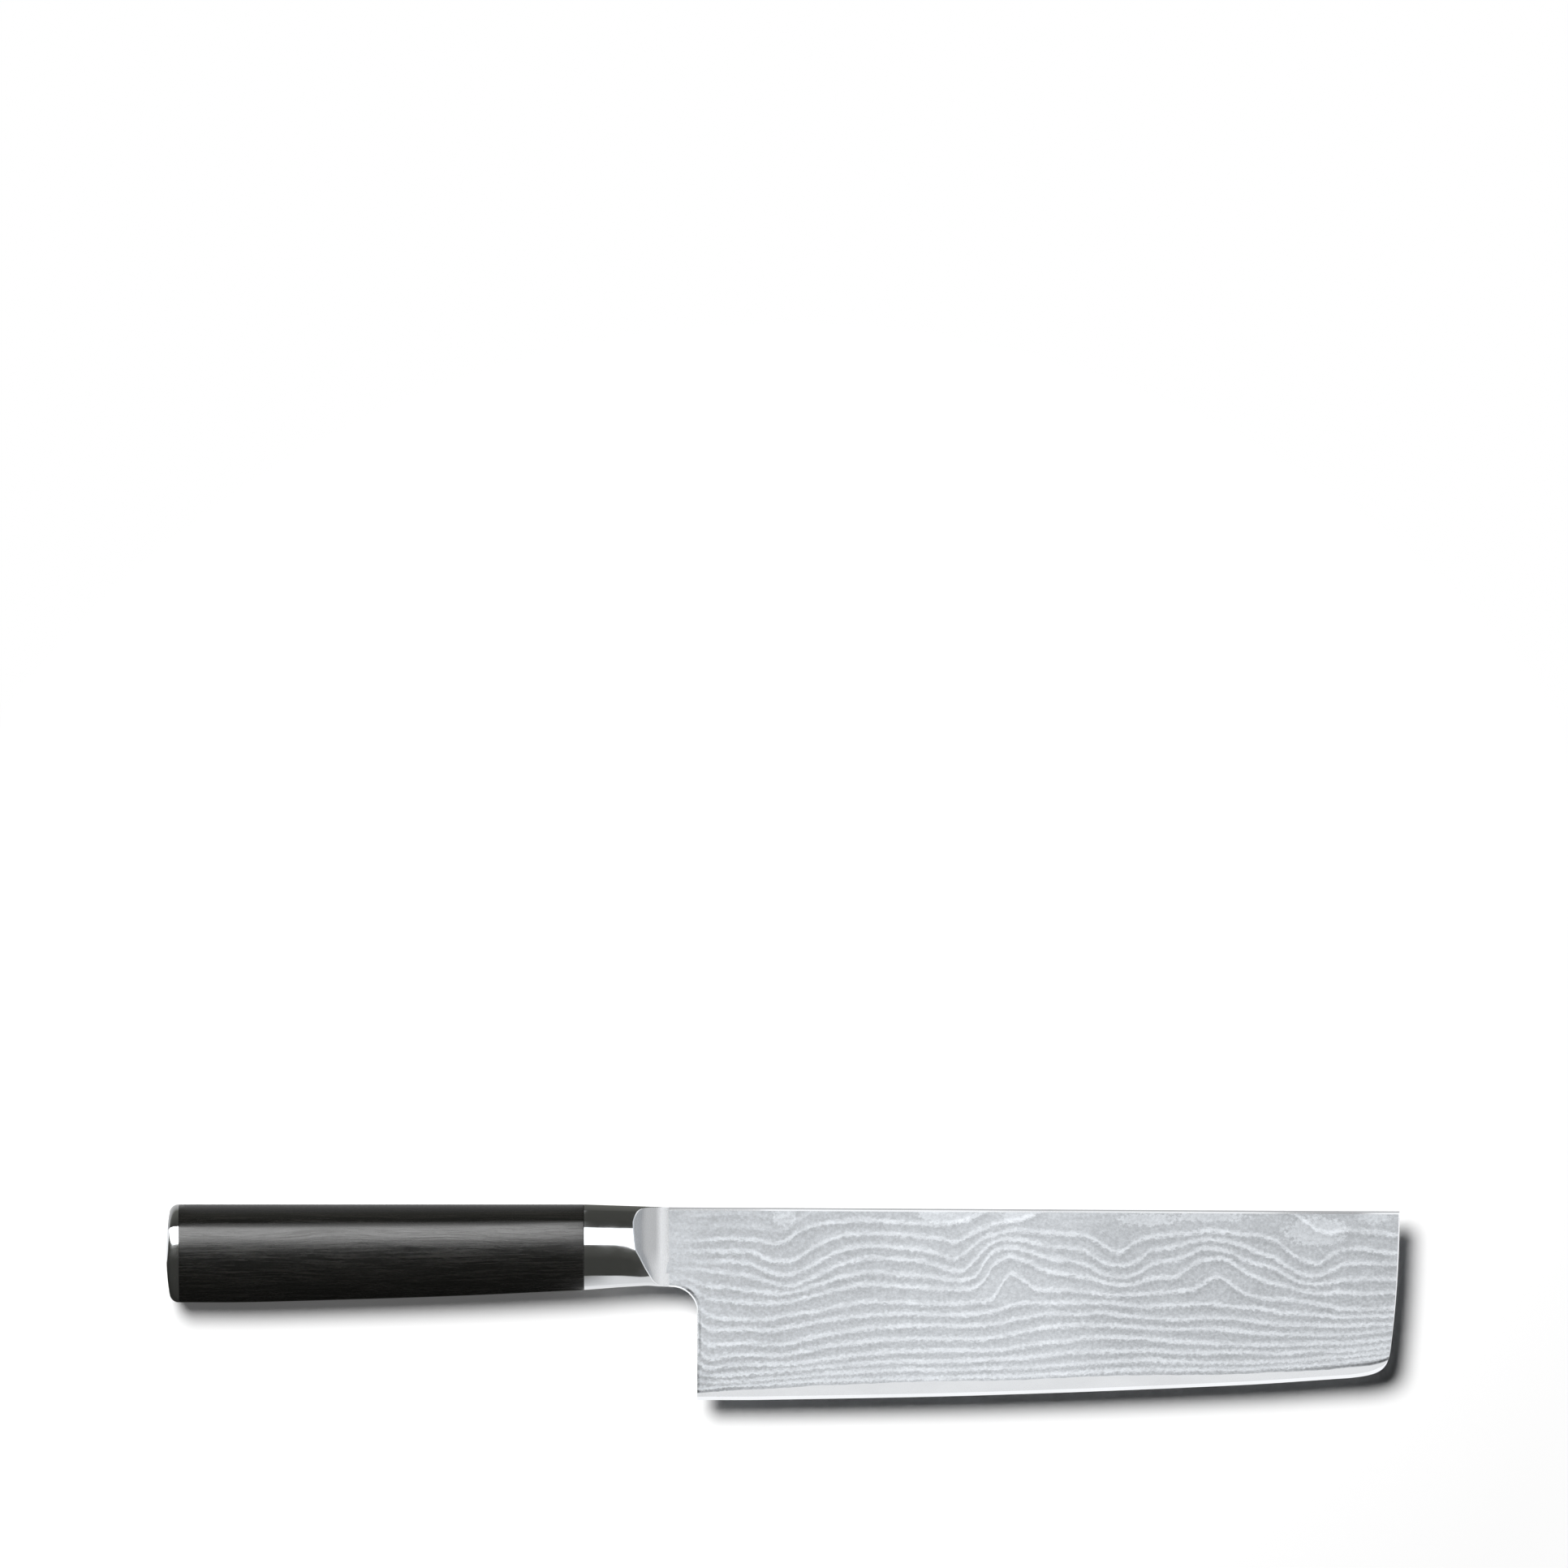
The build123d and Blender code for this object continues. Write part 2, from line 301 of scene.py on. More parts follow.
def grain(tree, place, scales, detail=2.0, roughness=0.5):
    """Noise between 0 and 1 at a place in millimetres, with its own scale along each axis."""
    join = tree.nodes.new("ShaderNodeCombineXYZ")
    for socket, axis, scale in zip(join.inputs, place, scales):
        tree.links.new(times(tree, axis, scale), socket)
    node = tree.nodes.new("ShaderNodeTexNoise")
    node.inputs["Scale"].default_value = 1.0
    node.inputs["Detail"].default_value = detail
    node.inputs["Roughness"].default_value = roughness
    tree.links.new(join.outputs[0], node.inputs["Vector"])
    return node.outputs["Fac"]


def stops(tree, value, *places):
    """Color ramp through (place, color) stops; a plain number stands for a neutral tone."""
    node = tree.nodes.new("ShaderNodeValToRGB")
    elements = node.color_ramp.elements
    elements[0].position, elements[1].position = places[0][0], places[-1][0]
    for place, color in places[1:-1]:
        elements.new(place)
    for element, (place, color) in zip(elements, places):
        element.color = (color,) * 3 + (1,) if isinstance(color, (int, float)) else (*color, 1)
    tree.links.new(value, node.inputs[0])
    return node.outputs["Color"]


def drive(tree, shader, socket, value, *places):
    """Feeds a socket of the shader with a value through a color ramp."""
    tree.links.new(stops(tree, value, *places), shader.inputs[socket])


def relief(tree, shader, height, depth):
    """Fine relief on the surface, with its depth in metres."""
    node = tree.nodes.new("ShaderNodeBump")
    node.inputs["Distance"].default_value = depth
    tree.links.new(height, node.inputs["Height"])
    tree.links.new(node.outputs[0], shader.inputs["Normal"])


def steel(level, cast=0.022):
    """Color of bare steel at a brightness: neutral with a slightly cool cast."""
    return (level * (1 - cast), level * 0.997, level * (1 + cast))


def ground_steel(name, dark, light, rough, scales):
    """Steel ground in one direction, with fine scratches and soft clouds."""
    finish, tree, shader = new_finish(name, steel(light), rough)
    place = millimetres(tree)
    scratches = grain(tree, place, scales, detail=4.0, roughness=0.65)
    clouds = grain(tree, place, (0.1, 0.25, 0.25), detail=3.0)
    tone = times(tree, scratches, 0.4, times(tree, clouds, 0.6))
    drive(tree, shader, "Base Color", tone, (0.32, steel(dark)), (0.68, steel(light)))
    drive(tree, shader, "Roughness", scratches, (0.3, rough * 0.85), (0.7, rough * 1.15))
    relief(tree, shader, scratches, 0.003 * mm)
    return finish


def tucked_row(mesh, row, depth):
    """Row just above a border row and slightly deeper, joined to it, so the faces behind it stay hidden."""
    tucked = [mesh.verts.new((v.co.x, v.co.y + tuck_rise, v.co.z - depth)) for v in row[1:-1]]
    tucked = [row[0], *tucked, row[-1]]
    strip(mesh, row, tucked)
    return tucked


core_finish = ground_steel("ground_core_steel", 0.73, 0.80, 0.3, (3.0, 9.0, 3.0))
edge_finish = ground_steel("honed_edge_steel", 0.93, 0.98, 0.16, (12.0, 2.0, 2.0))
core = bmesh.new()
upper_points = upper_outline()
rows = {}
last = len(edge_points) - 1
for side in (1, -1):
    edge_row, shoulder_row = [], []
    for k, point in enumerate(edge_points):
        ahead = (edge_points[min(k + 1, last)] - edge_points[max(k - 1, 0)]).normalized()
        fade = min(1.0, (last - k) / bevel_fade_steps)
        inward = Vector((-ahead.y, ahead.x)) if k else Vector((0, 1))
        shoulder = point + inward * edge_bevel * fade
        depth = face_depth(shoulder.x, shoulder.y)
        shoulder_row.append(core.verts.new((*shoulder, middle_z + side * depth)))
        land = mix(depth, edge_land / 2, fade)
        edge_row.append(core.verts.new((*point, middle_z + side * land)))
    band_row = [core.verts.new((*point, middle_z + side * face_depth(*point))) for point in band_points]
    band_row[-1] = shoulder_row[-1]
    upper_row = [core.verts.new((*point, middle_z + side * core_half)) for point in upper_points]
    for face in strip(core, edge_row, shoulder_row):
        face.material_index = 1
    core.faces.new(shoulder_row + band_row[-2::-1])
    core.faces.new(tucked_row(core, band_row, side * core_tuck) + upper_row)
    rows[side] = edge_row, shoulder_row, band_row, upper_row
right, left = rows[1], rows[-1]
for face in strip(core, right[0], left[0]):
    face.material_index = 1
strip(core, [right[2][-1], *right[3], right[2][0]], [left[2][-1], *left[3], left[2][0]])
core.faces.new([right[2][0], right[1][0], right[0][0], left[0][0], left[1][0], left[2][0]])
core_layer = new_piece("core_layer", core, (core_finish, edge_finish), sharp_angle=8)
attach(core_layer, "root")
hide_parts("core_steel")


# Claddings.
# Two layers of folded softer steel, forge-welded over the core and ground to a slim wedge.
# An acid etch shows their layers as pale wavy lines; their outer edges are eased by hand.
eased = 0.3 * mm
spine_eased = 0.7 * mm
tang_half = 0.75 * mm
column_count, neck_columns = 210, 12
lower_rows, upper_rows = 22, 32
grid_rounds, neck_crowding = 4, 1.6
least_ease, ease_share, ease_drop = 0.02 * mm, 0.8, 0.9
heel_round, spine_round = (0.75, 0.03), (0.55, 0.22)
layer_gap, least_gap = 3.0 * mm, 0.1 * mm
below_band = 0.8 * mm
layer_lines = (
    ((850, 1529), (891, 1526), (921, 1526.5), (940, 1529), (956, 1532), (972, 1527), (983, 1518),
     (997, 1511), (1015, 1507), (1054, 1503.5), (1110, 1506), (1150, 1508), (1172, 1507), (1190, 1503),
     (1208, 1495), (1226, 1485), (1250, 1477), (1722, 1477)),
    ((850, 1541.5), (921, 1541.5), (932, 1544), (945, 1552), (965, 1554), (980, 1551.5), (990, 1545),
     (1005, 1535), (1035, 1522), (1066, 1520), (1110, 1521), (1150, 1524.5), (1161, 1526), (1175, 1531),
     (1184, 1527.5), (1200, 1518), (1217, 1511), (1232, 1506), (1250, 1502.5), (1265, 1499), (1290, 1488),
     (1320, 1480), (1560, 1480), (1590, 1492), (1622, 1514), (1640, 1519), (1655, 1515), (1680, 1517),
     (1722, 1522)),
    ((850, 1552), (871, 1555.5), (901, 1553.7), (921, 1556.7), (938, 1563), (952, 1569), (965, 1571),
     (983, 1567.5), (1005, 1556), (1035, 1541), (1066, 1534.5), (1110, 1537), (1136, 1540), (1161, 1546.5),
     (1173, 1551.3), (1188, 1544.6), (1201, 1533), (1213, 1525.5), (1226, 1520.7), (1246, 1516),
     (1290, 1518.8), (1325, 1520.7), (1341, 1524.5), (1356, 1533), (1367, 1539), (1381, 1543.7),
     (1389, 1537), (1399, 1529.3), (1418, 1523.6), (1469, 1519.4), (1489, 1516.5), (1520, 1519),
     (1549, 1522.4), (1568, 1527.3), (1580, 1535), (1594, 1547), (1608, 1553), (1626, 1557), (1637, 1548),
     (1653, 1540), (1683, 1538.2), (1697, 1541), (1722, 1544)),
    ((850, 1563), (881, 1566), (901, 1570), (921, 1572), (942, 1578), (958, 1582), (972, 1584.3),
     (989, 1579.5), (1005, 1572), (1035, 1558), (1066, 1550.6), (1115, 1551.6), (1136, 1553.7),
     (1156, 1560), (1175, 1565.7), (1188, 1564.7), (1198, 1554), (1207, 1546.5), (1217, 1535),
     (1226, 1529.3), (1238, 1526.4), (1253, 1527.4), (1272, 1531), (1290, 1536), (1313, 1537),
     (1332, 1539.8), (1341, 1543.7), (1353, 1552.3), (1364, 1558), (1380, 1559), (1391, 1558),
     (1406, 1550.4), (1416, 1541), (1433, 1538.9), (1446, 1536.2), (1469, 1529.3), (1485, 1526.3),
     (1497, 1528.3), (1513, 1529.3), (1529, 1534.3), (1549, 1543.2), (1568, 1549), (1580, 1556),
     (1594, 1565), (1608, 1570.8), (1620, 1571.8), (1638, 1567), (1653, 1559), (1667, 1557), (1722, 1557)),
    ((850, 1575), (862, 1582), (881, 1585.3), (901, 1586.3), (921, 1589.4), (942, 1592.5), (962, 1593.5),
     (983, 1590.4), (1005, 1583), (1035, 1574), (1066, 1568), (1115, 1570), (1146, 1573), (1161, 1575.2),
     (1179, 1578), (1192, 1576), (1204, 1569.5), (1213, 1554.2), (1223, 1542.7), (1232, 1538.9),
     (1246, 1537), (1261, 1539.8), (1280, 1546.5), (1297, 1551.3), (1316, 1553.2), (1337, 1558),
     (1351, 1565.7), (1364, 1571.4), (1380, 1574.3), (1397, 1571.4), (1412, 1561.8), (1422, 1556),
     (1437, 1553.2), (1450, 1552), (1464, 1546), (1477, 1539.2), (1495, 1538.2), (1515, 1542.2),
     (1529, 1550), (1549, 1557), (1568, 1562), (1584, 1570.8), (1598, 1577.8), (1618, 1581.7),
     (1638, 1580.7), (1657, 1576.8), (1722, 1576)),
    ((850, 1586), (862, 1593), (871, 1599), (891, 1601.6), (911, 1603.7), (942, 1605.7), (972, 1603.7),
     (993, 1598.6), (1035, 1588), (1066, 1582), (1115, 1585), (1165, 1587.7), (1183, 1588.6),
     (1200, 1586.7), (1213, 1576), (1221, 1561.8), (1232, 1552.3), (1244, 1548.4), (1255, 1551.3),
     (1272, 1557), (1290, 1565.7), (1313, 1569.5), (1334, 1572.4), (1347, 1575.2), (1360, 1580),
     (1380, 1582.9), (1395, 1582.9), (1412, 1577), (1428, 1573.8), (1446, 1573.5), (1462, 1564),
     (1475, 1555), (1495, 1551), (1513, 1553), (1529, 1564), (1549, 1573.8), (1568, 1580.7), (1588, 1585.7),
     (1604, 1590.6), (1628, 1593.6), (1647, 1591.6), (1677, 1593.6), (1722, 1592)),
    ((850, 1598), (862, 1611), (871, 1619.5), (891, 1624), (921, 1625.5), (945, 1625.5), (965, 1622),
     (985, 1618.5), (1005, 1616), (1035, 1609), (1066, 1604), (1110, 1605), (1150, 1606.8), (1175, 1605.8),
     (1204, 1604), (1221, 1601), (1228, 1592.4), (1236, 1579), (1244, 1569.5), (1251, 1571.4), (1265, 1580),
     (1276, 1587.7), (1294, 1589.6), (1322, 1589.6), (1347, 1592.4), (1370, 1595.3), (1399, 1594.4),
     (1430, 1592.6), (1450, 1590.6), (1469, 1588.6), (1481, 1582.7), (1493, 1574.8), (1503, 1572.8),
     (1513, 1579.7), (1525, 1588.6), (1541, 1596.5), (1558, 1600.5), (1578, 1600.5), (1608, 1604.4),
     (1628, 1607.4), (1657, 1613.3), (1722, 1611.4)),
    ((850, 1616), (863, 1629), (871, 1636.5), (891, 1638.4), (921, 1637.5), (945, 1639), (972, 1635.3),
     (993, 1631), (1035, 1624.5), (1066, 1621), (1110, 1618.5), (1150, 1619.2), (1179, 1620.2),
     (1207, 1618.3), (1226, 1615.4), (1246, 1608.7), (1265, 1604.9), (1290, 1605.8), (1330, 1604.5),
     (1362, 1605), (1399, 1608.7), (1430, 1608.5), (1460, 1607.4), (1489, 1606.4), (1519, 1610.4),
     (1549, 1611.4), (1578, 1617.3), (1608, 1618.3), (1647, 1622.2), (1722, 1620.3)),
    ((850, 1636), (863, 1649), (871, 1657.5), (891, 1656.5), (921, 1654.7), (945, 1656), (962, 1656.7),
     (983, 1652.5), (1003, 1647.6), (1035, 1641), (1066, 1637), (1110, 1634), (1150, 1632.6),
     (1179, 1633.6), (1207, 1632.6), (1236, 1628.8), (1265, 1623), (1294, 1618.3), (1322, 1619.2),
     (1351, 1617.3), (1380, 1620.2), (1408, 1623), (1450, 1625), (1489, 1623.2), (1529, 1625.2),
     (1568, 1631), (1647, 1633), (1722, 1631)),
    ((850, 1655), (863, 1667), (871, 1673.5), (901, 1670), (932, 1669), (962, 1670), (993, 1664),
     (1024, 1657.8), (1054, 1654.5), (1095, 1650.6), (1150, 1648.9), (1207, 1650), (1236, 1645),
     (1265, 1639.3), (1294, 1634.5), (1341, 1632.6), (1380, 1633.6), (1418, 1636.4), (1450, 1638),
     (1480, 1637), (1509, 1638), (1549, 1643), (1618, 1644), (1657, 1644), (1687, 1642), (1722, 1637)),
    ((850, 1672), (863, 1680), (871, 1686), (901, 1682), (932, 1681), (972, 1680), (1013, 1676),
     (1054, 1669.5), (1095, 1666), (1150, 1664.2), (1226, 1663.2), (1255, 1659.4), (1284, 1654.6),
     (1313, 1651.7), (1341, 1648), (1380, 1648), (1418, 1649.8), (1469, 1654), (1509, 1655.8),
     (1549, 1656.8), (1628, 1655), (1667, 1653.9), (1722, 1648)),
    ((850, 1688), (863, 1692), (873, 1695), (932, 1691.4), (993, 1686.3), (1054, 1680.5), (1115, 1677.3),
     (1160, 1677.4), (1246, 1673.7), (1284, 1670.9), (1313, 1666), (1341, 1665), (1418, 1664.2),
     (1469, 1666.7), (1529, 1665.7), (1568, 1667.7), (1608, 1664.7), (1647, 1663.8), (1687, 1660.8),
     (1722, 1655)),
    ((850, 1700), (863, 1703), (891, 1702.7), (952, 1697.6), (1034, 1691.4), (1115, 1687.3), (1150, 1688),
     (1207, 1686), (1265, 1684.3), (1303, 1682), (1341, 1679.5), (1418, 1675.7), (1469, 1678.5),
     (1568, 1677.6), (1628, 1673.6), (1667, 1669.7), (1722, 1663)),
    ((850, 1707.5), (866, 1710), (881, 1709), (900, 1706.5), (950, 1704.5), (1001, 1702), (1061, 1699.5),
     (1106, 1698.3), (1170, 1697), (1241, 1695.5), (1301, 1692.5), (1361, 1689.5), (1421, 1687.5),
     (1481, 1687.5), (1526, 1687), (1571, 1684.5), (1600, 1682.5), (1646, 1679), (1680, 1675), (1705, 1671),
     (1722, 1667)),
)
known_heights = {}


def layer_heights(x):
    """Heights of the visible layer lines at a place along the blade, from the spine down."""
    key = round(x / mm, 1)
    if key not in known_heights:
        known_heights[key] = [traced_height(line, x) for line in layer_lines] + [forged_band(x) - below_band]
    return known_heights[key]


def layer_at(x, y):
    """How many layer lines lie above a point, counting on to the next one, and the gap between the two."""
    heights = layer_heights(x)
    if y >= heights[0]:
        return (heights[0] - y) / layer_gap, layer_gap / mm
    for k, (upper, lower) in enumerate(zip(heights, heights[1:])):
        if y >= lower:
            return k + (upper - y) / max(upper - lower, least_gap), (upper - lower) / mm
    return len(heights) - 1, (heights[-2] - heights[-1]) / mm


def ease_at(x, y):
    """Width of the eased edge, less where the cladding is thin."""
    return max(least_ease, min(eased, (face_depth(x, y) - core_half) * ease_share))


def heel_border(x, y):
    """Distance from the lower edge of the neck, its fillet and the heel."""
    centre_x = heel_x - neck_radius
    if x <= centre_x:
        return y - neck_bottom_y
    if y <= fillet_y:
        return x - heel_x
    return math.hypot(x - centre_x, y - fillet_y) - neck_radius


def neck_edge(x, ease):
    """Lower edge of the neck with its concave fillet, moved into the steel by the ease."""
    reach = x - (heel_x - neck_radius)
    radius = neck_radius + ease
    if reach <= 0:
        return neck_bottom_y + ease
    return fillet_y + math.sqrt(max(radius * radius - reach * reach, 0.0))


def blade_grid(mesh, side):
    """Fine grids on the tapering face: columns of the blade, then columns of the neck before it."""
    blade, neck = [], []
    for i in range(column_count + 1):
        column, share = [], i / column_count
        x = mix(heel_x, tip_x, share)
        for j in range(lower_rows + upper_rows + 1):
            for step in range(grid_rounds):
                if j <= lower_rows:
                    y = mix(forged_band(x), fillet_y, j / lower_rows)
                else:
                    y = mix(fillet_y, spine_line(x) - spine_eased, (j - lower_rows) / upper_rows)
                left_x = heel_x + (ease_at(heel_x, y) if j else 0.0)
                right_x = front_edge(y) - (ease_at(tip_x, y) if j else 0.0)
                x = mix(left_x, right_x, share)
            column.append(mesh.verts.new((x, y, middle_z + side * face_depth(x, y))))
        blade.append(column)
    for i in range(neck_columns):
        turn = 1 - (1 - i / neck_columns) ** neck_crowding
        x = mix(neck_x, heel_x + eased, math.sin(turn * math.pi / 2))
        column = []
        for j in range(upper_rows + 1):
            y = mix(neck_edge(x, eased), spine_line(x) - spine_eased, j / upper_rows)
            column.append(mesh.verts.new((x, y, middle_z + side * face_depth(x, y))))
        neck.append(column)
    neck.append(blade[0][lower_rows:])
    return blade, neck


def rim_of(blade, neck):
    """Border vertices of the face with their places on the outline, from tip to spine to heel."""
    rim = [(vertex, (front_edge(vertex.co.y), vertex.co.y)) for vertex in blade[-1][:-1]]
    rim.append((blade[-1][-1], (tip_x, spine_line(tip_x))))
    for column in blade[-2::-1] + neck[-2::-1]:
        rim.append((column[-1], (column[-1].co.x, spine_line(column[-1].co.x))))
    rim += [(vertex, (neck_x, vertex.co.y)) for vertex in neck[0][-2:0:-1]]
    centre = Vector((heel_x - neck_radius, fillet_y))
    for column in neck:
        point = Vector(column[0].co[:2])
        outer = Vector((point.x, neck_bottom_y))
        if point.x > centre.x:
            outer = centre + (point - centre).normalized() * neck_radius
        rim.append((column[0], tuple(outer)))
    rim += [(vertex, (heel_x, vertex.co.y)) for vertex in blade[0][lower_rows - 1::-1]]
    return rim


def cladding(side):
    """One cladding: tapering face, eased edges, walls, flat inner face and the cheek of the stub tang."""
    mesh = bmesh.new()
    blade, neck = blade_grid(mesh, side)
    for grid in (blade, neck):
        for first, second in zip(grid, grid[1:]):
            strip(mesh, first, second)
    rim = rim_of(blade, neck)
    rounded, wall, floor = [], [], []
    for vertex, (x, y) in rim:
        width = (Vector((x, y)) - Vector(vertex.co[:2])).length
        depth = face_depth(x, y)
        flat_share, drop = heel_round if heel_border(x, y) < eased else spine_round
        near_x, near_y = mix(vertex.co.x, x, flat_share), mix(vertex.co.y, y, flat_share)
        rounded.append(mesh.verts.new((near_x, near_y, middle_z + side * (depth - width * drop))))
        wall.append(mesh.verts.new((x, y, middle_z + side * max(depth - width * ease_drop, core_half))))
        floor.append(mesh.verts.new((x, y, middle_z + side * core_half)))
    for face in strip(mesh, [vertex for vertex, outer in rim], rounded):
        face.material_index = 1
    spine_start = lower_rows + upper_rows
    spine_end = spine_start + column_count + neck_columns
    for k, face in enumerate(strip(mesh, rounded, wall)):
        face.material_index = 2 if spine_start <= k < spine_end else 1
    strip(mesh, wall, floor)
    mesh.faces.new(tucked_row(mesh, [column[0] for column in blade], side * core_tuck / 2) + floor)
    ends = []
    for x in (stub_x, neck_x):
        end = []
        for y, depths in ((-1, (core_half, tang_half)), (1, (tang_half, core_half))):
            for depth in depths:
                end.append(mesh.verts.new((x, tang_y + y * tang_height / 2, middle_z + side * depth)))
        mesh.faces.new(end)
        ends.append(end + end[:1])
    strip(mesh, *ends)
    return mesh


pale_patches = (
    (966, 1500, 17, 13), (1166, 1498, 44, 11), (1254, 1498, 25, 10), (1415, 1503, 45, 9), (1490, 1499, 60, 7),
    (1622, 1517, 46, 22), (1692, 1500, 24, 9),
)
# Painted highlight and shade along the eased edges: how bright the rim is painted along the spine, down the
# heel and at the front.
spine_painted_light = (
    (820, 0.75), (870, 0.6), (930, 0.7), (950, 0.95), (1150, 1.0), (1290, 0.75), (1350, 0.8), (1500, 0.85),
    (1560, 0.75), (1600, 0.4), (1670, 0.3), (1695, 0.8), (1730, 0.95),
)
heel_painted_light = (
    (1590, 0.95), (1606, 0.85), (1620, 0.65), (1660, 0.5), (1680, 0.5), (1692, 0.12), (1730, 0.12),
)
front_painted_light = 0.85
# Painted shade beside the eased edge of the heel: how dark the line is at each height.
border_shade_marks = (
    (1576, 0.0), (1583, 0.35), (1588, 1.0), (1597, 0.8), (1606, 0.25), (1640, 0.55), (1665, 0.4),
    (1678, 0.1), (1740, 0.0),
)
base_tone, cloud_tone = 0.485, 0.12
line_lift, shade_depth = 0.22, 0.095
mottling_lift, patch_lift = 0.04, 0.11
border_shade_depth, speckle_depth = 0.42, 0.15
heel_shade_depth, heel_rim_depth = 0.11, 0.2


def paleness(x, y):
    """How far a point lies inside one of the pale patches that the etch leaves below the spine."""
    across, level = in_picture(x, y)
    return max(0.0, *(1 - ((across - u) / a) ** 2 - ((level - v) / b) ** 2 for u, v, a, b in pale_patches))


def painted_rim_light(x, y):
    """Painted highlight and shade of the eased edge at a point of the outline: how bright its steel is
    painted there.
    """
    if y > spine_line(x) - spine_eased * 1.1:
        return smooth_value(spine_painted_light, in_picture(x, y)[0])
    if x < heel_x + 2 * eased:
        return smooth_value(heel_painted_light, in_picture(x, y)[1])
    return front_painted_light


def attribute(tree, name):
    """Value that the mesh carries under a name."""
    node = tree.nodes.new("ShaderNodeAttribute")
    node.attribute_name = name
    return node.outputs["Fac"]


def eased_steel_painted_light(name):
    """Steel of the eased edges, painted brighter in some places than in others: a painted highlight and
    shade.
    """
    finish, tree, shader = new_finish(name, steel(0.85), 0.25)
    scratches = grain(tree, millimetres(tree), (2.0, 2.0, 2.0), detail=4.0, roughness=0.65)
    tone = times(tree, scratches, 0.12, attribute(tree, "painted_rim_light"))
    drive(tree, shader, "Base Color", tone, (0.35, steel(0.42)), (1.0, steel(0.95)))
    drive(tree, shader, "Roughness", scratches, (0.3, 0.2), (0.7, 0.3))
    relief(tree, shader, scratches, 0.003 * mm)
    return finish


def etched_lines(tree, place, ragged):
    """Pale layer lines and the darker shade below each, from the layer count that the mesh carries."""
    spacing = maths(tree, "MAXIMUM", attribute(tree, "layer_gap"), 0.8)
    drift = grain(tree, place, (0.16, 0.3, 0.2), detail=1.0)
    shift = times(tree, ragged, 0.8, times(tree, drift, 0.5, -0.65))
    count = maths(tree, "ADD", attribute(tree, "layer"), maths(tree, "DIVIDE", shift, spacing))
    below = times(tree, maths(tree, "FRACT", count), spacing)
    nearest = maths(tree, "MINIMUM", below, maths(tree, "SUBTRACT", spacing, below))
    line = stops(tree, nearest, (0.22, 1.0), (0.5, 0.5), (0.95, 0.0))
    shade = stops(tree, maths(tree, "DIVIDE", below, 4.0), (0.08, 0.0), (0.16, 1.0), (0.55, 0.0))
    return line, shade


def line_strength(tree, place, from_bolster):
    """How clear the lines are etched: less near the bolster, above the first line and here and there."""
    strength = stops(tree, grain(tree, place, (0.12, 0.5, 0.3), detail=2.0), (0.3, 0.5), (0.58, 1.0))
    strength = times(tree, strength, stops(tree, from_bolster, (0.0, 0.2), (0.6, 1.0)))
    layer = maths(tree, "ADD", attribute(tree, "layer"), 1.0)
    return times(tree, strength, stops(tree, layer, (0.45, 0.4), (0.75, 1.0)))


def spine_marks(tree, place, speckle):
    """Fine mottling and the pale patches below the spine."""
    from_spine = times(tree, place[1], -0.15, 0.15 * spine_y / mm)
    mottling = grain(tree, place, (0.16, 0.4, 0.3), detail=4.0, roughness=0.65)
    mottling = stops(tree, mottling, (0.5, 0.0), (0.56, 1.0))
    mottling = times(tree, mottling, stops(tree, from_spine, (0.2, 1.0), (0.9, 0.0)))
    patches = times(tree, maths(tree, "SUBTRACT", speckle, 0.5), 0.5, attribute(tree, "pale"))
    return mottling, stops(tree, patches, (0.2, 0.0), (0.5, 1.0))


def edge_dashes(tree, place, from_heel):
    """Dark dashes just above the edge band, broken up along the blade and deepest near the tip."""
    broken = grain(tree, place, (0.5, 0.02, 0.1), detail=3.0, roughness=0.7)
    whole = (0.0, 0.35), (0.03, 0.3), (0.07, 0.0), (0.62, 0.0), (0.68, 0.1), (0.93, 0.35)
    dashes = maths(tree, "ADD", broken, stops(tree, from_heel, *whole))
    dashes = stops(tree, dashes, (0.5, 0.0), (0.6, 1.0))
    above_band = (0.08, 0.0), (0.25, 1.0), (0.55, 1.0), (0.85, 0.0)
    dashes = times(tree, dashes, stops(tree, attribute(tree, "rise"), *above_band))
    depths = (0.0, 0.09), (0.06, 0.06), (0.12, 0.03), (0.84, 0.04), (0.94, 0.24), (1.0, 0.37)
    return times(tree, dashes, stops(tree, from_heel, *depths))


def painted_border_shade(tree, ragged):
    """Painted shade: a dark ragged line beside the eased edge of the neck's fillet and the heel."""
    wavy = times(tree, ragged, 0.25, attribute(tree, "border"))
    border_shade = stops(tree, times(tree, wavy, 0.5), (0.2, 0.0), (0.32, 1.0), (0.44, 1.0), (0.6, 0.0))
    return times(tree, border_shade, attribute(tree, "border_shade"))


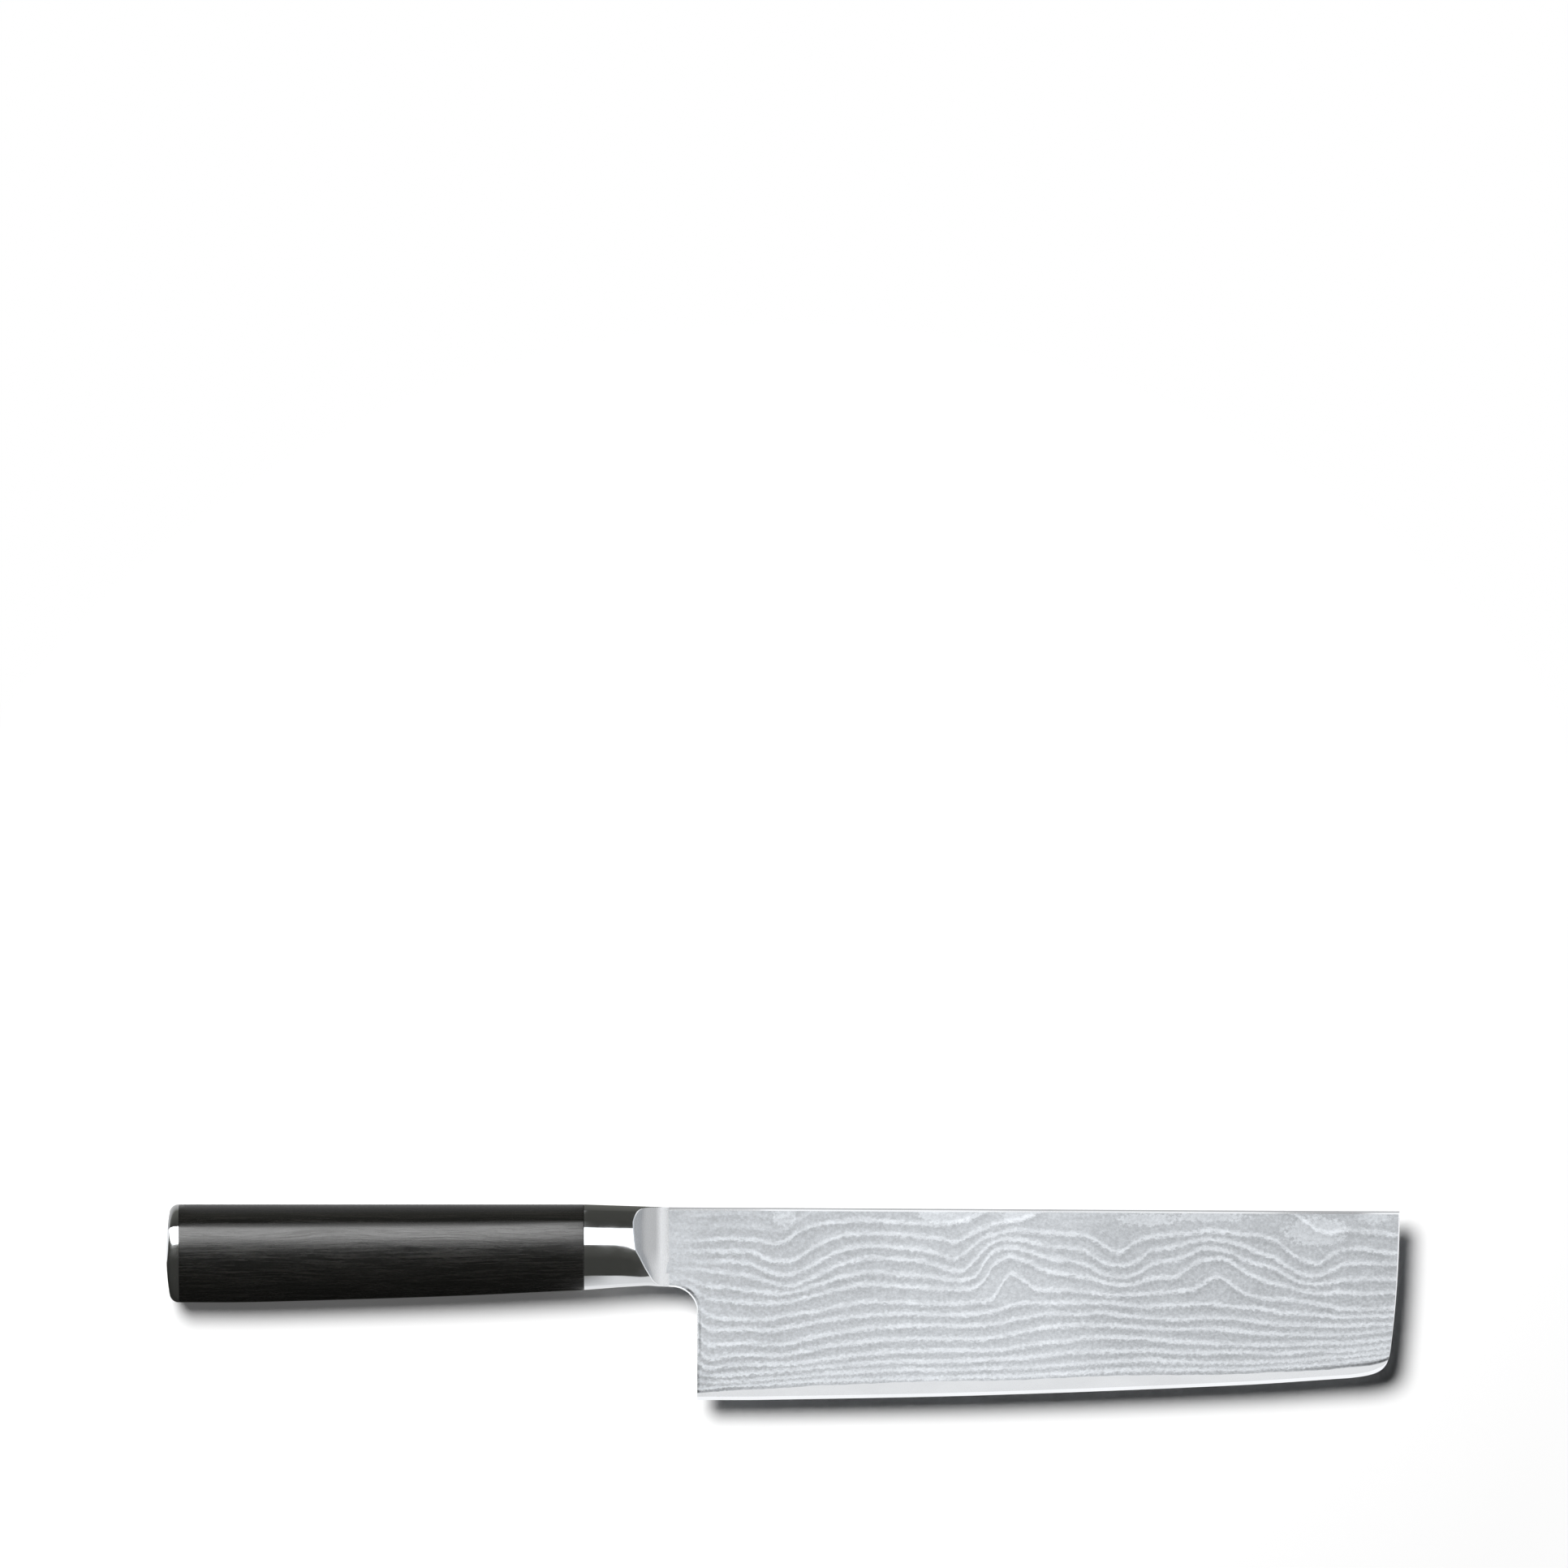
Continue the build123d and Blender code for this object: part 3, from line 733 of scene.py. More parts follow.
def layered_steel(name):
    """Etched layered steel: pale layer lines with a darker shade below each, and a fine speckle."""
    finish, tree, shader = new_finish(name, steel(0.6), 0.38)
    place = millimetres(tree)
    from_heel = times(tree, place[0], mm / blade_length, -heel_x / blade_length)
    from_bolster = times(tree, place[0], 0.05, -0.05 * neck_x / mm)
    ragged = grain(tree, place, (0.9, 1.5, 0.9), detail=3.0, roughness=0.65)
    ragged = stops(tree, ragged, (0.3, 0.0), (0.7, 1.0))
    speckle = grain(tree, place, (1.3, 1.5, 1.3), detail=2.0, roughness=0.7)
    speckle = stops(tree, speckle, (0.33, 0.0), (0.67, 1.0))
    clouds = grain(tree, place, (0.07, 0.16, 0.1), detail=3.0, roughness=0.6)
    line, shade = etched_lines(tree, place, ragged)
    strength = line_strength(tree, place, from_bolster)
    mottling, patches = spine_marks(tree, place, speckle)
    sweep = (0.0, 0.045), (0.15, 0.05), (0.34, 0.095), (0.5, 0.1), (0.6, 0.03), (1.0, 0.0)
    high_up = stops(tree, times(tree, place[1], 0.05), (0.3, 0.0), (0.75, 1.0))
    by_bolster = stops(tree, from_bolster, (0.0, 0.1), (0.2, 0.08), (0.45, 0.0))
    low_down = stops(tree, times(tree, place[1], -0.05), (0.6, 0.0), (0.82, 1.0))
    near_heel = times(tree, low_down, stops(tree, from_heel, (0.0, 1.0), (0.05, 0.7), (0.2, 0.0)))
    outermost = stops(tree, attribute(tree, "border"), (0.2, 1.0), (0.7, 0.0))
    marks = (
        (times(tree, shade, strength), -shade_depth),
        (times(tree, line, strength), line_lift),
        (mottling, mottling_lift),
        (patches, patch_lift),
        (edge_dashes(tree, place, from_heel), -1.0),
        (high_up, by_bolster),
        (painted_border_shade(tree, ragged), -border_shade_depth),
        (times(tree, shade, near_heel), -heel_shade_depth),
        (times(tree, outermost, near_heel), -heel_rim_depth),
        (maths(tree, "SUBTRACT", speckle, 0.5), speckle_depth),
    )
    tone = maths(tree, "ADD", stops(tree, from_heel, *sweep), times(tree, clouds, cloud_tone, base_tone))
    for mark, weight in marks:
        tone = times(tree, mark, weight, tone)
    drive(tree, shader, "Base Color", tone, (0.0, 0.0), (1.0, steel(0.98, cast=0.042)))
    drive(tree, shader, "Roughness", line, (0.0, 0.4), (1.0, 0.3))
    relief(tree, shader, times(tree, speckle, 0.5, line), 0.004 * mm)
    return finish


cladding_finishes = (
    layered_steel("etched_layered_steel"),
    eased_steel_painted_light("eased_steel_painted_light"),
    # Brushed steel of the spine's outer wall, painted darker than the face: painted shade in place of its
    # grey reflection line.
    ground_steel("brushed_spine_steel_painted_shade", 0.42, 0.5, 0.35, (0.6, 6.0, 6.0)),
)
for name, side in (("right", 1), ("left", -1)):
    piece = new_piece("cladding_layer_" + name, cladding(side), cladding_finishes, sharp_angle=12)
    marks = {mark: [] for mark in ("layer", "layer_gap", "rise", "pale", "border", "border_shade", "painted_rim_light")}
    for vertex in piece.data.vertices:
        x, y, z = vertex.co
        pattern_x = x if side > 0 else heel_x + tip_x - x
        layer, gap = layer_at(pattern_x, y)
        border_shade = smooth_value(border_shade_marks, in_picture(x, y)[1])
        border = heel_border(x, y) / mm
        values = layer, gap, (y - forged_band(x)) / mm, paleness(pattern_x, y), border, border_shade, painted_rim_light(x, y)
        for mark, value in zip(marks, values):
            marks[mark].append(value)
    for mark, values in marks.items():
        piece.data.attributes.new(mark, "FLOAT", "POINT").data.foreach_set("value", values)
    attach(piece, "root")
    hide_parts("cladding_" + name)


# Bolster.
# A D-shaped collar of stainless steel, slotted over the stub tang and polished all round.
# Both sides are hollowed to satin ramps that run down to the faces of the blade.
bolster_length = 20.0 * mm
bolster_front_half = 6.9 * mm
front_half = 7.7 * mm
handle_front_height = 20.1 * mm
ramp_reach = 9.35 * mm
ramp_radii = (
    (4.4, 5.4), (6.1, 5.4), (8.3, 6.35), (10.8, 7.6), (12.3, 8.5), (14.2, 8.66), (18.8, 8.72), (20.8, 8.4),
    (22.4, 8.25),
)
satin_span = 9.0
# Painted light and shade on the ramps: tones along the ramp, above and low down, with a painted highlight
# near the blade.
upper_ramp_painted_tones = ((0.1, 0.53), (0.2, 0.5), (0.32, 0.44), (0.43, 0.475), (0.65, 0.47), (0.8, 0.78), (1.0, 0.73))
lower_ramp_painted_tones = ((0.3, 0.47), (0.45, 0.5), (0.6, 0.58), (0.8, 0.78), (1.0, 0.73))
slot_clearance = 0.05 * mm
overcut = 1.0 * mm
crease = 0.13 * mm
joint_ease = 0.06 * mm
ridge_drop_share, ridge_round_share, cheek_round_share = 0.19, 0.16, 0.045
crown_steps, ridge_steps, cheek_steps, belly_steps = 16, 8, 40, 18
round_share = 0.5523
collar_x = neck_x - bolster_length
top_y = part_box("handle")[1].y
underside_heights = (
    (-46.9, 2.885), (-42.5, 3.22), (-39.1, 3.49), (-34.5, 3.76), (-31.7, 3.89), (-29.2, 3.72), (-26.8, 3.655),
)
oval_columns, ramp_columns = 30, 26
crown_curve = ((0.0, 0.0), (0.0, 0.62), (0.06, 0.86), (ridge_drop_share, 1.0))
cheek_curve = ((ridge_drop_share, 1.0), (0.5, 0.93), (1.0, 0.5), (1.0, 0.0))
belly_curve = ((1.0, 0.0), (1.0, -round_share), (0.5 + round_share / 2, -1.0), (0.5, -1.0))
back_curve = ((0.5, -1.0), (0.5 - round_share / 2, -1.0), (0.0, -round_share), (0.0, 0.0))
handle_softness, bolster_softness = 0.35, 0.15
known_shapes = {}


def d_shape(softness):
    """D section as shares of height and half thickness: a ridge on the right, half an ellipse on the left."""
    softness = round(softness, 2)
    if softness not in known_shapes:
        crown_end, cheek_start = 1 - ridge_round_share * softness, cheek_round_share * softness
        before, after = bezier(crown_curve, crown_end), bezier(cheek_curve, cheek_start)
        ridge = Vector(crown_curve[-1])
        points = [bezier(crown_curve, crown_end * k / crown_steps) for k in range(crown_steps)]
        for k in range(ridge_steps + 1):
            t = k / ridge_steps
            points.append(before * (1 - t) ** 2 + ridge * 2 * t * (1 - t) + after * t * t)
        for k in range(1, cheek_steps):
            points.append(bezier(cheek_curve, mix(cheek_start, 1.0, k / cheek_steps)))
        for curve in (belly_curve, back_curve):
            points += [bezier(curve, k / belly_steps) for k in range(belly_steps)]
        known_shapes[softness] = points
    return known_shapes[softness]


def d_section(top, bottom, half, softness):
    """Heights and depths of the points round a D section."""
    return [(top - (top - bottom) * drop, half * width) for drop, width in d_shape(softness)]


def bolster_point(x, index, inset=0.0):
    """Height and depth of one point round the bolster, before its sides are hollowed."""
    share = (x - collar_x) / bolster_length
    top = mix(top_y, neck_top_y, share) - inset
    bottom = smooth_value(underside_heights, x / mm) * mm + inset
    half = mix(front_half, bolster_front_half, share) - inset
    drop, width = d_shape(bolster_softness)[index]
    return top - (top - bottom) * drop, half * width


def ramp_depth(x, y):
    """Half thickness that the hollow ramp leaves at a point; the hollow is tighter low down."""
    radius = smooth_value(ramp_radii, y / mm) * mm
    reach = min(neck_x - x, radius)
    return face_depth(neck_x, y) + radius - math.sqrt(radius ** 2 - reach ** 2)


def ramp_edge(index):
    """Station where one line along the oval runs into the ramp."""
    def on_oval(x):
        y, z = bolster_point(x, index)
        return abs(z) < ramp_depth(x, y)
    return turning_point(neck_x - ramp_reach, neck_x, on_oval)


def add_loop(mesh, x, outline):
    """Loop of vertices across the knife, from (height, depth) pairs."""
    return [mesh.verts.new((x, y, middle_z + z)) for y, z in outline]


def solid_from_loops(mesh, loops):
    """Closed body from a row of loops, with flat ends."""
    faces = [strip(mesh, first + first[:1], second + second[:1]) for first, second in zip(loops, loops[1:])]
    mesh.faces.new(loops[0])
    mesh.faces.new(loops[-1])
    return faces


def shaped_bolster():
    """The collar with its two hollow ramps: oval part, crease and ramp have their own finishes."""
    mesh = bmesh.new()
    edges = [ramp_edge(index) for index in range(len(d_shape(bolster_softness)))]
    loops = []
    for column in range(oval_columns + ramp_columns + 4):
        loop = []
        for index, edge in enumerate(edges):
            inset = 0.0
            if column < 2:
                x = collar_x + joint_ease * column
                inset = joint_ease * (1 - column)
            elif column < oval_columns + 2:
                x = mix(collar_x + joint_ease, edge - crease, (column - 1) / oval_columns)
            else:
                x = mix(min(edge + crease, neck_x), neck_x, (column - oval_columns - 2) / (ramp_columns + 1))
            y, z = bolster_point(x, index, inset)
            loop.append(mesh.verts.new((x, y, middle_z + math.copysign(min(abs(z), ramp_depth(x, y)), z))))
        loops.append(loop)
    for column, faces in enumerate(solid_from_loops(mesh, loops)):
        for face in faces:
            face.material_index = 3 if column == 0 else 0 if column < oval_columns + 1 else 1
            if column > oval_columns + 1:
                face.material_index = 2
    return mesh


def prism(outline, x_from, x_to):
    """Straight body along the knife with a given outline, as (height, depth) pairs."""
    mesh = bmesh.new()
    solid_from_loops(mesh, [add_loop(mesh, x, outline) for x in (x_from, x_to)])
    return mesh


def box_outline(height, width):
    """Rectangle centred on the tang."""
    corners = ((-1, -1), (1, -1), (1, 1), (-1, 1))
    return [(tang_y + a * height / 2, b * width / 2) for a, b in corners]


def combine(piece, tool_mesh, operation, sharp_angle=25):
    """Cuts a body out of a piece, or joins it on, and keeps the piece's finishes."""
    tool = new_piece("tool", tool_mesh, ())
    change = piece.modifiers.new("change", "BOOLEAN")
    change.operation = operation
    change.solver = "EXACT"
    change.object = tool
    graph = bpy.context.evaluated_depsgraph_get()
    result = bpy.data.meshes.new_from_object(piece.evaluated_get(graph))
    piece.modifiers.clear()
    before, tool_data = piece.data, tool.data
    piece.data = result
    bpy.data.meshes.remove(before)
    bpy.data.objects.remove(tool)
    bpy.data.meshes.remove(tool_data)
    result.name = piece.name
    smooth_between(result, sharp_angle)


def polished_steel(name, level, roughness):
    """Mirror polished stainless steel with faint hairlines and smudges."""
    finish, tree, shader = new_finish(name, steel(level), roughness)
    place = millimetres(tree)
    hairlines = grain(tree, place, (0.35, 7.0, 7.0), detail=3.0, roughness=0.7)
    clouds = grain(tree, place, (0.25, 0.25, 0.25), detail=3.0)
    drive(tree, shader, "Roughness", clouds, (0.3, roughness * 0.6), (0.7, roughness * 1.5))
    tone = stops(tree, hairlines, (0.3, steel(level * 0.97)), (0.7, steel(level * 1.02)))
    tree.links.new(tone, shader.inputs["Base Color"])
    relief(tree, shader, hairlines, 0.00008 * mm)
    return finish


def satin_steel_painted_light(name):
    """Satin steel of the hollow ramps, brushed across, with painted light and shade: its tone is painted
    along and down the ramp, with a painted highlight line where they meet the blade.
    """
    finish, tree, shader = new_finish(name, steel(0.6), 0.27)
    place = millimetres(tree)
    brushing = grain(tree, place, (7.0, 0.5, 0.5), detail=4.0, roughness=0.65)
    along = times(tree, place[0], 1 / satin_span, 1 - neck_x / mm / satin_span)
    along = times(tree, brushing, 0.08, maths(tree, "SUBTRACT", along, 0.04))
    upper, lower = (stops(tree, along, *tones) for tones in (upper_ramp_painted_tones, lower_ramp_painted_tones))
    low_down = stops(tree, times(tree, place[1], 0.05), (0.42, 1.0), (0.64, 0.0))
    tone = times(tree, low_down, maths(tree, "SUBTRACT", lower, upper), upper)
    drive(tree, shader, "Base Color", tone, (0.0, 0.0), (1.0, steel(1.0)))
    drive(tree, shader, "Roughness", brushing, (0.3, 0.23), (0.7, 0.31))
    relief(tree, shader, brushing, 0.003 * mm)
    return finish


joint_finish = ground_steel("dark_joint_line", 0.03, 0.05, 0.5, (1.0, 1.0, 1.0))
bolster_finishes = (
    polished_steel("polished_bolster_steel", 0.76, 0.06),
    # The crease between oval and ramp: polished steel painted brighter, a painted highlight line.
    polished_steel("crease_steel_painted_highlight", 0.85, 0.2),
    satin_steel_painted_light("satin_ramp_steel_painted_light"),
    joint_finish,
)
bolster = new_piece("bolster_collar", shaped_bolster(), bolster_finishes, sharp_angle=25)
slot = box_outline(tang_height + 2 * slot_clearance, 2 * (tang_half + slot_clearance))
combine(bolster, prism(slot, collar_x - overcut, neck_x + overcut), "DIFFERENCE")
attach(bolster, "root")
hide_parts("bolster")


# Tang bar and its weld.
# A hot-rolled steel bar lengthens the stub tang through the handle and ends in a threaded stud.
# Two fillet beads hold it; their heat leaves straw and blue tints on the steel.
def dark_steel(name, dark, light, roughness):
    """Mill-finished steel with a mottled scale."""
    finish, tree, shader = new_finish(name, light, roughness)
    scale = grain(tree, millimetres(tree), (0.5, 0.9, 0.9), detail=5.0, roughness=0.65)
    drive(tree, shader, "Base Color", scale, (0.35, dark), (0.65, light))
    drive(tree, shader, "Roughness", scale, (0.3, roughness * 0.8), (0.7, roughness * 1.2))
    relief(tree, shader, scale, 0.02 * mm)
    return finish


def give_finish(finish, *nodes):
    """Gives nodes of the frame that stay as they are a finish of their own."""
    for name in nodes:
        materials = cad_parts[name].data.materials
        materials.clear()
        materials.append(finish)


give_finish(dark_steel("mill_finished_bar", (0.16, 0.155, 0.15), (0.34, 0.33, 0.32), 0.5), "tang_bar")
give_finish(dark_steel("heat_tinted_weld", (0.12, 0.13, 0.2), (0.45, 0.33, 0.2), 0.4), "tang_weld")


# Handle.
# Thin dark veneers pressed with resin into one block, shaped to a D section and polished.
# It is drilled and slotted for the tang, then drawn against the bolster.
handle_length = 95.0 * mm
handle_butt_height = 23.0 * mm
butt_half = 9.6 * mm
handle_rises = ((0.0, 0.0), (0.15, 0.0), (0.35, 0.16), (0.68, 0.51), (1.0, 1.0))
cap_x = collar_x - handle_length
counterbore_diameter = 13.0 * mm
counterbore_depth = 10.1 * mm
bore_diameter = 9.6 * mm
pocket_height, pocket_width = 13.0 * mm, 5.0 * mm
pin_hole = 2.04 * mm
pin_in_handle = 6.0 * mm
bore_overlap = 0.5 * mm
soften_from, soften_span = 0.8, 0.2
pin_y = (tang_y - counterbore_diameter / 2 + top_y - handle_butt_height) / 2
handle_columns = 64


def handle_section(x, inset=0.0):
    """D section of the handle at a station."""
    share = min(max((x - cap_x) / handle_length, 0.0), 1.0)
    rise = smooth_value(handle_rises, share)
    height = mix(handle_butt_height, handle_front_height, rise)
    half = mix(butt_half, front_half, share)
    softness = mix(1.0, handle_softness, max(0.0, (share - soften_from) / soften_span))
    return d_section(top_y - inset, top_y - height + inset, half - inset, softness)


def ring(y, diameter, count=48):
    """Circle round a height, in line with the knife."""
    turns = [2 * math.pi * k / count for k in range(count)]
    return [(y + diameter / 2 * math.cos(turn), diameter / 2 * math.sin(turn)) for turn in turns]


handle_mesh = bmesh.new()
handle_stations = [(cap_x, joint_ease), (cap_x + joint_ease, 0.0)]
handle_stations += [(mix(cap_x, collar_x, k / handle_columns), 0.0) for k in range(1, handle_columns)]
handle_stations += [(collar_x - 2 * joint_ease, 0.0), (collar_x, 2 * joint_ease)]
handle_loops = [add_loop(handle_mesh, x, handle_section(x, inset)) for x, inset in handle_stations]
solid_from_loops(handle_mesh, handle_loops)


def veneer_wood(name):
    """Black-brown veneers: fine streaks along the handle under a hard polish."""
    finish, tree, shader = new_finish(name, (0.012, 0.0105, 0.009), 0.3, metallic=0.0)
    x, y, z = millimetres(tree)
    bend = grain(tree, (x, y, z), (0.02, 0.08, 0.08), detail=2.0)
    bent = (x, times(tree, bend, 5.0, y), z)
    streaks = grain(tree, bent, (0.06, 2.4, 2.4), detail=4.0, roughness=0.6)
    pores = grain(tree, bent, (0.35, 7.0, 7.0), detail=2.0, roughness=0.6)
    mixed = times(tree, pores, 0.35, times(tree, streaks, 0.65))
    dark, middling, pale = (0.003, 0.0031, 0.0028), (0.0052, 0.0052, 0.0046), (0.012, 0.011, 0.0095)
    drive(tree, shader, "Base Color", mixed, (0.3, dark), (0.5, middling), (0.72, pale))
    drive(tree, shader, "Roughness", mixed, (0.36, 0.17), (0.64, 0.33))
    shader.inputs["Specular IOR Level"].default_value = 0.7
    relief(tree, shader, mixed, 0.018 * mm)
    return finish


handle = new_piece("handle_wood", handle_mesh, (veneer_wood("pressed_veneer_wood"),), sharp_angle=25)
pin_bore = ring(pin_y, pin_hole, 24)
cuts = (
    (box_outline(pocket_height, pocket_width), stub_x, collar_x + overcut),
    (ring(tang_y, bore_diameter), cap_x - overcut, stub_x + bore_overlap),
    (ring(tang_y, counterbore_diameter), cap_x - overcut, cap_x + counterbore_depth),
    (pin_bore, cap_x - overcut, cap_x + pin_in_handle),
)
for outline, x_from, x_to in cuts:
    combine(handle, prism(outline, x_from, x_to), "DIFFERENCE")
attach(handle, "root")
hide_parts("handle")


# Bedding resin, washer, nut and pin.
# Amber epoxy fills the gaps round the tang bar; the steel washer and nut draw the handle tight.
# All of them are closed in by the end cap.
resin_finish, tree, shader = new_finish("amber_epoxy", (0.36, 0.19, 0.06), 0.35, metallic=0.0)
resin_clouds = grain(tree, millimetres(tree), (0.4, 0.6, 0.6), detail=4.0)
resin_tone = stops(tree, resin_clouds, (0.3, (0.27, 0.13, 0.04)), (0.7, (0.45, 0.25, 0.09)))
tree.links.new(resin_tone, shader.inputs["Base Color"])
relief(tree, shader, resin_clouds, 0.02 * mm)
give_finish(resin_finish, "bedding_resin")
fastener_finish = ground_steel("turned_fastener_steel", 0.45, 0.55, 0.3, (1.0, 8.0, 8.0))
give_finish(fastener_finish, "washer", "nut", "cap_pin")


# End cap.
# A slightly domed plate of polished stainless steel that closes the handle.
# Its spigot and pin locate it; it is glued on and ground flush with the wood.
cap_dome = 1.0 * mm
cap_dome_flat = 0.4
rim_radius = 1.7 * mm
spigot_length = 1.5 * mm
spigot_clearance = 0.05 * mm
spigot_overlap = 0.5 * mm
pin_in_cap = 1.4 * mm
butt_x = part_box("end_cap")[0].x
cap_middle_y = top_y - handle_butt_height / 2
dome_radius = ((handle_butt_height / 2) ** 2 + cap_dome ** 2) / (2 * cap_dome)
rim_steps, dome_steps = 12, 14


def dome(y, z):
    """Station of the domed rear face at a point."""
    reach = (y - cap_middle_y) ** 2 + (z * cap_dome_flat) ** 2
    return butt_x + dome_radius - math.sqrt(dome_radius ** 2 - reach)


cap_mesh = bmesh.new()
cap_loops = []
for x, inset in ((cap_x, joint_ease), (cap_x - joint_ease, 0.0)):
    cap_loops.append(add_loop(cap_mesh, x, handle_section(cap_x, inset)))
for k in range(rim_steps + 1):
    turn = math.radians(90 * (1 - k / rim_steps))
    loop = []
    for y, z in handle_section(cap_x, rim_radius * (1 - math.sin(turn))):
        x = min(dome(y, z) + rim_radius * (1 - math.cos(turn)), cap_x - joint_ease)
        loop.append(cap_mesh.verts.new((x, y, middle_z + z)))
    cap_loops.append(loop)
for k in range(1, dome_steps):
    share = 1 - k / dome_steps
    loop = []
    for y, z in handle_section(cap_x, rim_radius):
        y, z = mix(cap_middle_y, y, share), z * share
        loop.append(cap_mesh.verts.new((dome(y, z), y, middle_z + z)))
    cap_loops.append(loop)
for face in solid_from_loops(cap_mesh, cap_loops)[0]:
    face.material_index = 1
cap_finish = polished_steel("polished_cap_steel", 0.74, 0.09)
end_cap = new_piece("end_cap_plate", cap_mesh, (cap_finish, joint_finish), sharp_angle=25)
spigot = ring(tang_y, counterbore_diameter - 2 * spigot_clearance)
combine(end_cap, prism(spigot, cap_x - spigot_overlap, cap_x + spigot_length), "UNION")
combine(end_cap, prism(pin_bore, cap_x - pin_in_cap, cap_x + overcut), "DIFFERENCE")
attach(end_cap, "root")
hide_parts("end_cap")


# Floor, light and camera.
# A white table under one soft lamp from the upper left; the knife is seen from straight above.
# Cards beside the handle, seen only as reflections, shape the light on steel and polish.
floor_size = 8.0
lit_reach, white_reach = 0.178, 0.23
# Painted light on the table beside the handle: its strength, and where along and across it lies.
painted_shadow_lift = 0.1
painted_lift_along = ((0.2, 0.0), (0.26, 1.0), (0.8, 1.0), (0.88, 0.0))
painted_lift_across = ((0.6, 1.0), (1.0, 0.0))


def bare_material(name):
    """Material without a shader yet, and its node tree."""
    material = bpy.data.materials.new(name)
    material.use_nodes = True
    tree = material.node_tree
    tree.nodes.remove(tree.nodes["Principled BSDF"])
    return material, tree


def seen_reflected(tree):
    """Outputs of the light path, and whether a ray comes by mirrors or glass only."""
    path = tree.nodes.new("ShaderNodeLightPath").outputs
    bounced = maths(tree, "MAXIMUM", path["Is Glossy Ray"], path["Is Transmission Ray"])
    return path, times(tree, bounced, maths(tree, "LESS_THAN", path["Diffuse Depth"], 0.5))


floor_mesh = bmesh.new()
bmesh.ops.create_grid(floor_mesh, x_segments=8, y_segments=8, size=floor_size / 2)
floor_finish, tree = bare_material("white_table")
floor_finish.cycles.emission_sampling = "NONE"
paint = tree.nodes.new("ShaderNodeBsdfDiffuse")
paint.inputs["Color"].default_value = (0.98, 0.98, 0.98, 1)
glow = tree.nodes.new("ShaderNodeEmission")
place = tree.nodes.new("ShaderNodeTexCoord")
reach = tree.nodes.new("ShaderNodeVectorMath")
reach.operation = "LENGTH"
tree.links.new(place.outputs["Object"], reach.inputs[0])
far = stops(tree, reach.outputs["Value"], (lit_reach, 0.0), (white_reach, 1.0))
# Painted light: the table is painted lighter beside the handle, seen by the camera only, standing in for
# light that bounces in under the handle and lifts the shadow there.
place = millimetres(tree)
along = stops(tree, times(tree, place[0], 0.005, 1.0), *painted_lift_along)
across = stops(tree, times(tree, maths(tree, "ABSOLUTE", place[1]), 0.05), *painted_lift_across)
painted_lift = times(tree, times(tree, along, across), painted_shadow_lift)
backdrop_and_painted_lift = maths(tree, "MAXIMUM", far, painted_lift)
path, mirrored = seen_reflected(tree)
share = maths(tree, "MAXIMUM", times(tree, backdrop_and_painted_lift, path["Is Camera Ray"]), mirrored)
blend = tree.nodes.new("ShaderNodeMixShader")
tree.links.new(share, blend.inputs[0])
tree.links.new(paint.outputs[0], blend.inputs[1])
tree.links.new(glow.outputs[0], blend.inputs[2])
tree.links.new(blend.outputs[0], tree.nodes["Material Output"].inputs["Surface"])
floor = new_piece("table", floor_mesh, (floor_finish,))

fill_light = 0.004
world = bpy.data.worlds.new("studio")
bpy.context.scene.world = world
world.use_nodes = True
world.cycles.sampling_method = "NONE"
tree = world.node_tree
path, mirrored = seen_reflected(tree)
seen = maths(tree, "MAXIMUM", path["Is Camera Ray"], mirrored)
background = tree.nodes["Background"]
background.inputs["Color"].default_value = (1, 1, 1, 1)
tree.links.new(times(tree, seen, 1 - fill_light, fill_light), background.inputs["Strength"])

lamp_height = 1.6
lamp_shift = (-0.51, 0.705)
lamp_size = 0.9
lamp_power = 43.9
lamp_data = bpy.data.lights.new("soft_lamp", "AREA")
lamp_data.shape = "DISK"
lamp_data.size = lamp_size
lamp_data.energy = lamp_power
lamp = placed("soft_lamp", lamp_data)
lamp.location = (*lamp_shift, lamp_height)
lamp_pitch = math.asin(lamp_shift[1] / lamp.location.length)
lamp.rotation_euler = (-lamp_pitch, math.atan2(lamp_shift[0], lamp_height), 0)
lamp.visible_camera = lamp.visible_glossy = False

